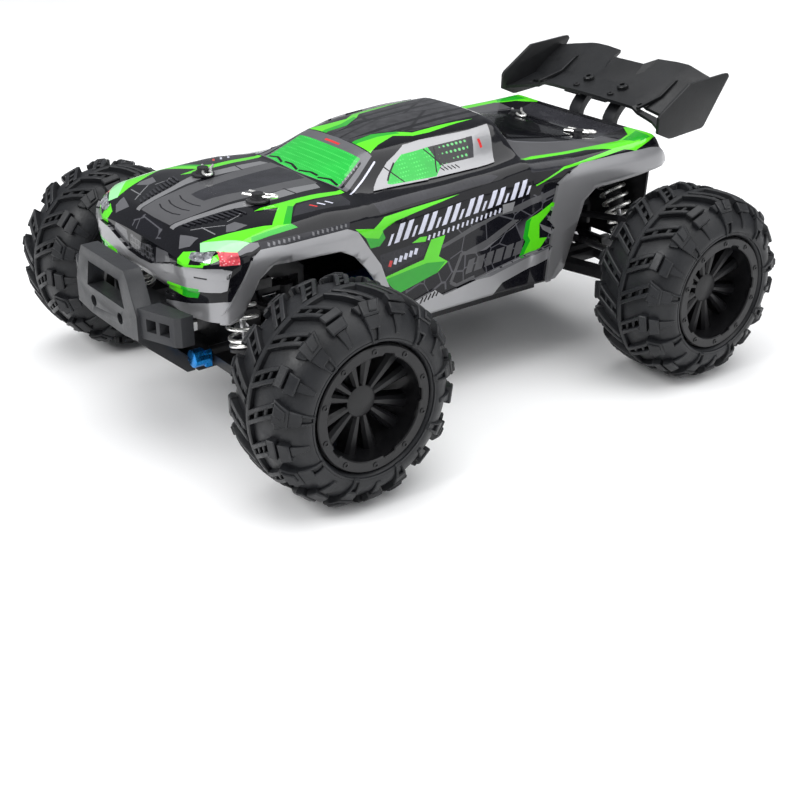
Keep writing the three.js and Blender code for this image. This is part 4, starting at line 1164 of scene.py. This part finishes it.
def door(bm):
    put = painter(bm, "x", on_side)
    for outline in (
        [(-13.9, 66.7), (2.7, 71.8), (23.4, 75.3), (45.8, 79.7), (45.4, 77.3), (26.1, 72.7),
         (15.7, 73), (-13.4, 65.2)],
        [(-4.3, 60.7), (9.3, 64), (22.9, 69.8), (26.4, 69.1), (15.5, 63.4), (6.1, 59.7)],
    ):
        put("grey", outline)
    put("silver_dark", [(6.1, 59.7), (23.1, 66.1), (28.1, 69.4), (9.6, 59.7)])
    put("silver", [(17.3, 77.2), (23.8, 77.3), (22.5, 73.8), (17.4, 73.4)])
    put("lime", [(44, 74.1), (30.1, 67.6), (29.1, 60.6), (30.4, 58.7), (26.9, 51.5), (14.7, 49.8),
        (20.8, 50.3), (32.2, 53.3), (38.1, 54.7), (41.4, 58.6), (37.2, 59.1), (36.7, 65.6),
        (43.3, 71.4)])
    put("green", [(33, 68.6), (30.1, 67.6), (29.1, 60.6), (30.4, 58.7), (26.9, 51.5), (29.5, 52.4),
        (33, 58.7), (31.6, 61), (32.2, 66.8)])
    put("silver", [(36.7, 65.6), (43.3, 62.3), (44.1, 59.2), (38.7, 62.5)])
    for start, end in (((-3.5, 60.9), (4.9, 60)), ((-3.2, 60.9), (-8.4, 49.6)),
                       ((-8.6, 49.6), (-5, 47.4)), ((-5.2, 47.6), (4, 49.2))):
        put("grey", band(start, end, 1.5))
    widths = [3.4, 4.2, 3.6, 4.4, 3.8, 4.2]
    y = -1
    for width in widths:
        z0 = 51.3 + (y + 1) * 0.09
        put("grey", [(y, z0), (y + width, z0 + 0.4), (y + width + 1.6, z0 + 6.3),
            (y + 1.6, z0 + 5.9)])
        y += width + 1.1


def crackle_panels(bm):
    put = painter(bm, "x", on_side)
    put("crackle", [(-12, 70.6), (14, 75), (45.8, 80.5), (44, 58), (30, 50), (14, 48.6), (-14, 47),
        (-34, 51), (-15, 55.5), (-9, 60), (-14, 63)])


def rocker(bm):
    put = painter(bm, "x", on_side)
    faces = put("silver", [(-37.5, 37), (-37, 40.4), (-27.8, 45.9), (-17.1, 48.7), (-12.7, 45.4),
        (4.2, 47.9), (43.1, 54.9), (43.4, 37)])
    raised(bm, faces, 0.9)
    for k in range(5):
        y = -24 + 2 * k
        z = 44.6 + 0.35 * k
        put("black", band((y - 0.6, z), (y + 0.9, z + 2.4), 0.8))
    put("black", [(18.6, 43.4), (42.9, 49.4), (42.9, 38), (12.4, 38)])
    put("silver_dark", [(1.5, 48), (43.1, 55.4), (43.1, 54), (12.1, 47.6)])


def flares(bm):
    front = [(-112.5, 56), (-112, 61), (-100.9, 81.6), (-97.3, 83.1), (-60.1, 83.1), (-55.4, 81.3),
        (-50.5, 74), (-44.5, 66), (-41.8, 59), (-37, 49), (-36.6, 40), (-60, 60), (-95, 60),
        (-112.5, 50)]
    rear = [(41.1, 38), (41.1, 40.1), (41.9, 50.6), (44.1, 62.9), (40.9, 66.3), (45.4, 81.2),
        (52.9, 85), (58.7, 86.6), (80.1, 86.6), (100, 86.2), (106.3, 85.4), (111.7, 81.1),
        (115, 76), (115, 60), (60, 60), (52, 38)]
    put = painter(bm, "x", lambda c, n: c.x > 38)
    raised(bm, put("silver", front), 1.3)
    raised(bm, put("silver", rear), 1.3)


def side_window(bm):
    put = painter(bm, "x", lambda c, n: 24 < c.x < 39.5 and c.z > 89 and n.x > 0.3)
    raised(bm, put("silver", [(-37.5, 89.8), (-25, 97), (-14.6, 101.2), (-6.6, 102), (28.3, 102.9),
        (20.5, 90.6), (-6.2, 90.2)]), 0.5)
    put("glass", [(-29.8, 91.3), (-23.8, 96.1), (-17.8, 99.1), (-5.7, 100.3), (-2.4, 94.5),
        (-8, 91), (-28.4, 90.9)])
    put("mesh", [(-4, 94), (-5.7, 100.3), (16.5, 101.3), (12.7, 94.5)])
    put("grey_dark", [(10.4, 94.5), (13.4, 101.2), (16.5, 101.3), (12.7, 94.5)])
    put("red", [(17.6, 97), (19, 97), (19.6, 100), (18.2, 100)])
    for start, end in (((-29, 92), (-22.5, 97)), ((-28.2, 97), (-22.5, 91)),
                       ((-7, 92), (-3, 100)), ((-2.6, 93.6), (-8, 100))):
        put("black", band(start, end, 0.55))
    for k in range(5):
        y = -4.5 + 1.8 * k
        put("black", band((y, 93.4), (y + 1.4, 92.2), 0.5))


def mirror_half(bm):
    """Adds the right half of a mesh that is drawn for x >= 0."""
    bmesh.ops.remove_doubles(bm, verts=bm.verts, dist=0.002)
    for v in bm.verts:
        if abs(v.co.x) < 0.01:
            v.co.x = 0
    walls = [f for f in bm.faces if all(abs(v.co.x) < 0.01 for v in f.verts)]
    bmesh.ops.delete(bm, geom=walls, context="FACES")
    both = bmesh.ops.duplicate(bm, geom=[*bm.verts, *bm.edges, *bm.faces])["geom"]
    verts = [g for g in both if isinstance(g, bmesh.types.BMVert)]
    faces = [g for g in both if isinstance(g, bmesh.types.BMFace)]
    for v in verts:
        v.co.x = -v.co.x
    bmesh.ops.reverse_faces(bm, faces=faces)
    seam = [v for v in bm.verts if abs(v.co.x) < 1e-6]
    bmesh.ops.remove_doubles(bm, verts=seam, dist=0.01)


def body_shell():
    bm = bmesh.new()
    rows = shell_grid()
    verts = [[bm.verts.new(p) for p in row] for row in rows]
    for a, b in zip(verts, verts[1:]):
        for i in range(len(a) - 1):
            bm.faces.new((a[i], a[i + 1], b[i + 1], b[i]))
    # the flat nose and tail, filled in to the centre line
    for row, order in ((verts[0], 1), (verts[-1], -1)):
        centre = [bm.verts.new((0, v.co.y, v.co.z)) for v in row]
        for i in range(len(row) - 1):
            loop = (row[i], centre[i], centre[i + 1], row[i + 1])
            bm.faces.new(loop[::order])
    bmesh.ops.remove_doubles(bm, verts=bm.verts, dist=0.01)
    bmesh.ops.dissolve_degenerate(bm, edges=bm.edges, dist=0.01)
    bmesh.ops.recalc_face_normals(bm, faces=bm.faces)
    up = max(bm.faces, key=lambda f: f.calc_center_median().z)
    if up.normal.z < 0:
        bmesh.ops.reverse_faces(bm, faces=bm.faces)
    long_edges = [e for e in bm.edges if e.calc_length() > 9]
    bmesh.ops.subdivide_edges(bm, edges=long_edges, cuts=1, use_grid_fill=True)
    bmesh.ops.triangulate(bm, faces=[f for f in bm.faces if len(f.verts) > 4])
    for face in bm.faces:
        face.material_index = SHELL_LOOKS.index("black")
    for step in (hood, fender, windshield, roof, bed, crackle_panels, side_top, side_lightning,
                 lettering, door, rocker, flares, valance, side_window, nose):
        step(bm)
    trim(bm)
    bmesh.ops.dissolve_degenerate(bm, edges=bm.edges, dist=0.003)
    mirror_half(bm)
    made = piece("body_shell_look", bm, "chassis",
                 [LOOKS[name] for name in SHELL_LOOKS], ["body_shell"], 32, closed=False)
    wall = made.modifiers.new("wall", "SOLIDIFY")
    wall.thickness = 0.9 * MM
    wall.offset = -1
    wall.material_offset = len(SHELL_LOOKS)


def trim(bm):
    """Cuts the lower edge, the arches, the nose's underside and the notch in the tail."""
    axes = PLANE["x"]
    for start, end in zip(SHELL_TRIM, [*SHELL_TRIM[1:], SHELL_TRIM[0]]):
        cut_side(bm, list(bm.faces), axes, start, end, 0.002)

    def remove(test):
        gone = [f for f in bm.faces if test(f.calc_center_median())]
        bmesh.ops.delete(bm, geom=gone, context="FACES")

    remove(lambda c: inside(SHELL_TRIM, c.y, c.z))
    bm.normal_update()
    remove(lambda c: c.y > 109 and c.x < 32)  # the notch in the tail
    remove(lambda c: c.y < -104 and c.z < 66.4 and c.x < 22)  # under the nose


body_shell()

# ---- Studio --------------------------------------------------------------------------------------


# The photo's camera, from the fit: metres, then degrees down and around, then millimetres.
CAMERA_PLACE = (0.4415, -0.3345, 0.2498)
CAMERA_DOWN, CAMERA_AROUND = 26.557, 53.065
LENS, SENSOR = 60.73, 36
FLOOR_Z = -0.2  # millimetres, just under the tyres


def studio():
    scene = bpy.context.scene
    scene.view_settings.view_transform = "Standard"
    bm = bmesh.new()
    reach, step = 4000, 400
    count = int(2 * reach / step)
    ticks = [-reach + i * step for i in range(count + 1)]
    grid = [[bm.verts.new((x, y, FLOOR_Z)) for x in ticks] for y in ticks]
    for j in range(count):
        for i in range(count):
            bm.faces.new((grid[j][i], grid[j][i + 1], grid[j + 1][i + 1], grid[j + 1][i]))
    bmesh.ops.transform(bm, matrix=TO_FRAME, verts=bm.verts)
    mesh = bpy.data.meshes.new("floor")
    bm.to_mesh(mesh)
    bm.free()
    mesh.materials.append(finish("pale_floor", (0.92, 0.92, 0.92), 0.6, mottle=(3, 0.01),
                                 grain=(200, 0.02)))
    floor = bpy.data.objects.new("floor", mesh)
    scene.collection.objects.link(floor)
    world = bpy.data.worlds.new("studio")
    world.use_nodes = True
    world.node_tree.nodes["Background"].inputs["Color"].default_value = (0.92, 0.95, 1, 1)
    world.node_tree.nodes["Background"].inputs["Strength"].default_value = 0.3
    scene.world = world

    target = Vector((0, 0, 0.05))

    def lamp(name, place, size, power):
        light = bpy.data.lights.new(name, "AREA")
        light.shape = "RECTANGLE"
        light.size, light.size_y = size
        light.energy = power
        made = bpy.data.objects.new(name, light)
        made.location = place
        made.rotation_euler = (target - Vector(place)).to_track_quat("-Z", "Y").to_euler()
        scene.collection.objects.link(made)

    lamp("key", (-0.1, -1.2, 1.0), (0.9, 0.6), 15)
    lamp("top", (0.1, 0.2, 1.5), (2.2, 2.2), 36)
    lamp("fill", (1.3, 0.5, 0.6), (1.6, 1.1), 7)

    camera = bpy.data.cameras.new("camera")
    camera.lens = LENS
    camera.sensor_width = SENSOR
    holder = bpy.data.objects.new("camera", camera)
    holder.location = CAMERA_PLACE
    holder.rotation_euler = (math.radians(90 - CAMERA_DOWN), 0, math.radians(CAMERA_AROUND))
    scene.collection.objects.link(holder)
    scene.camera = holder


studio()
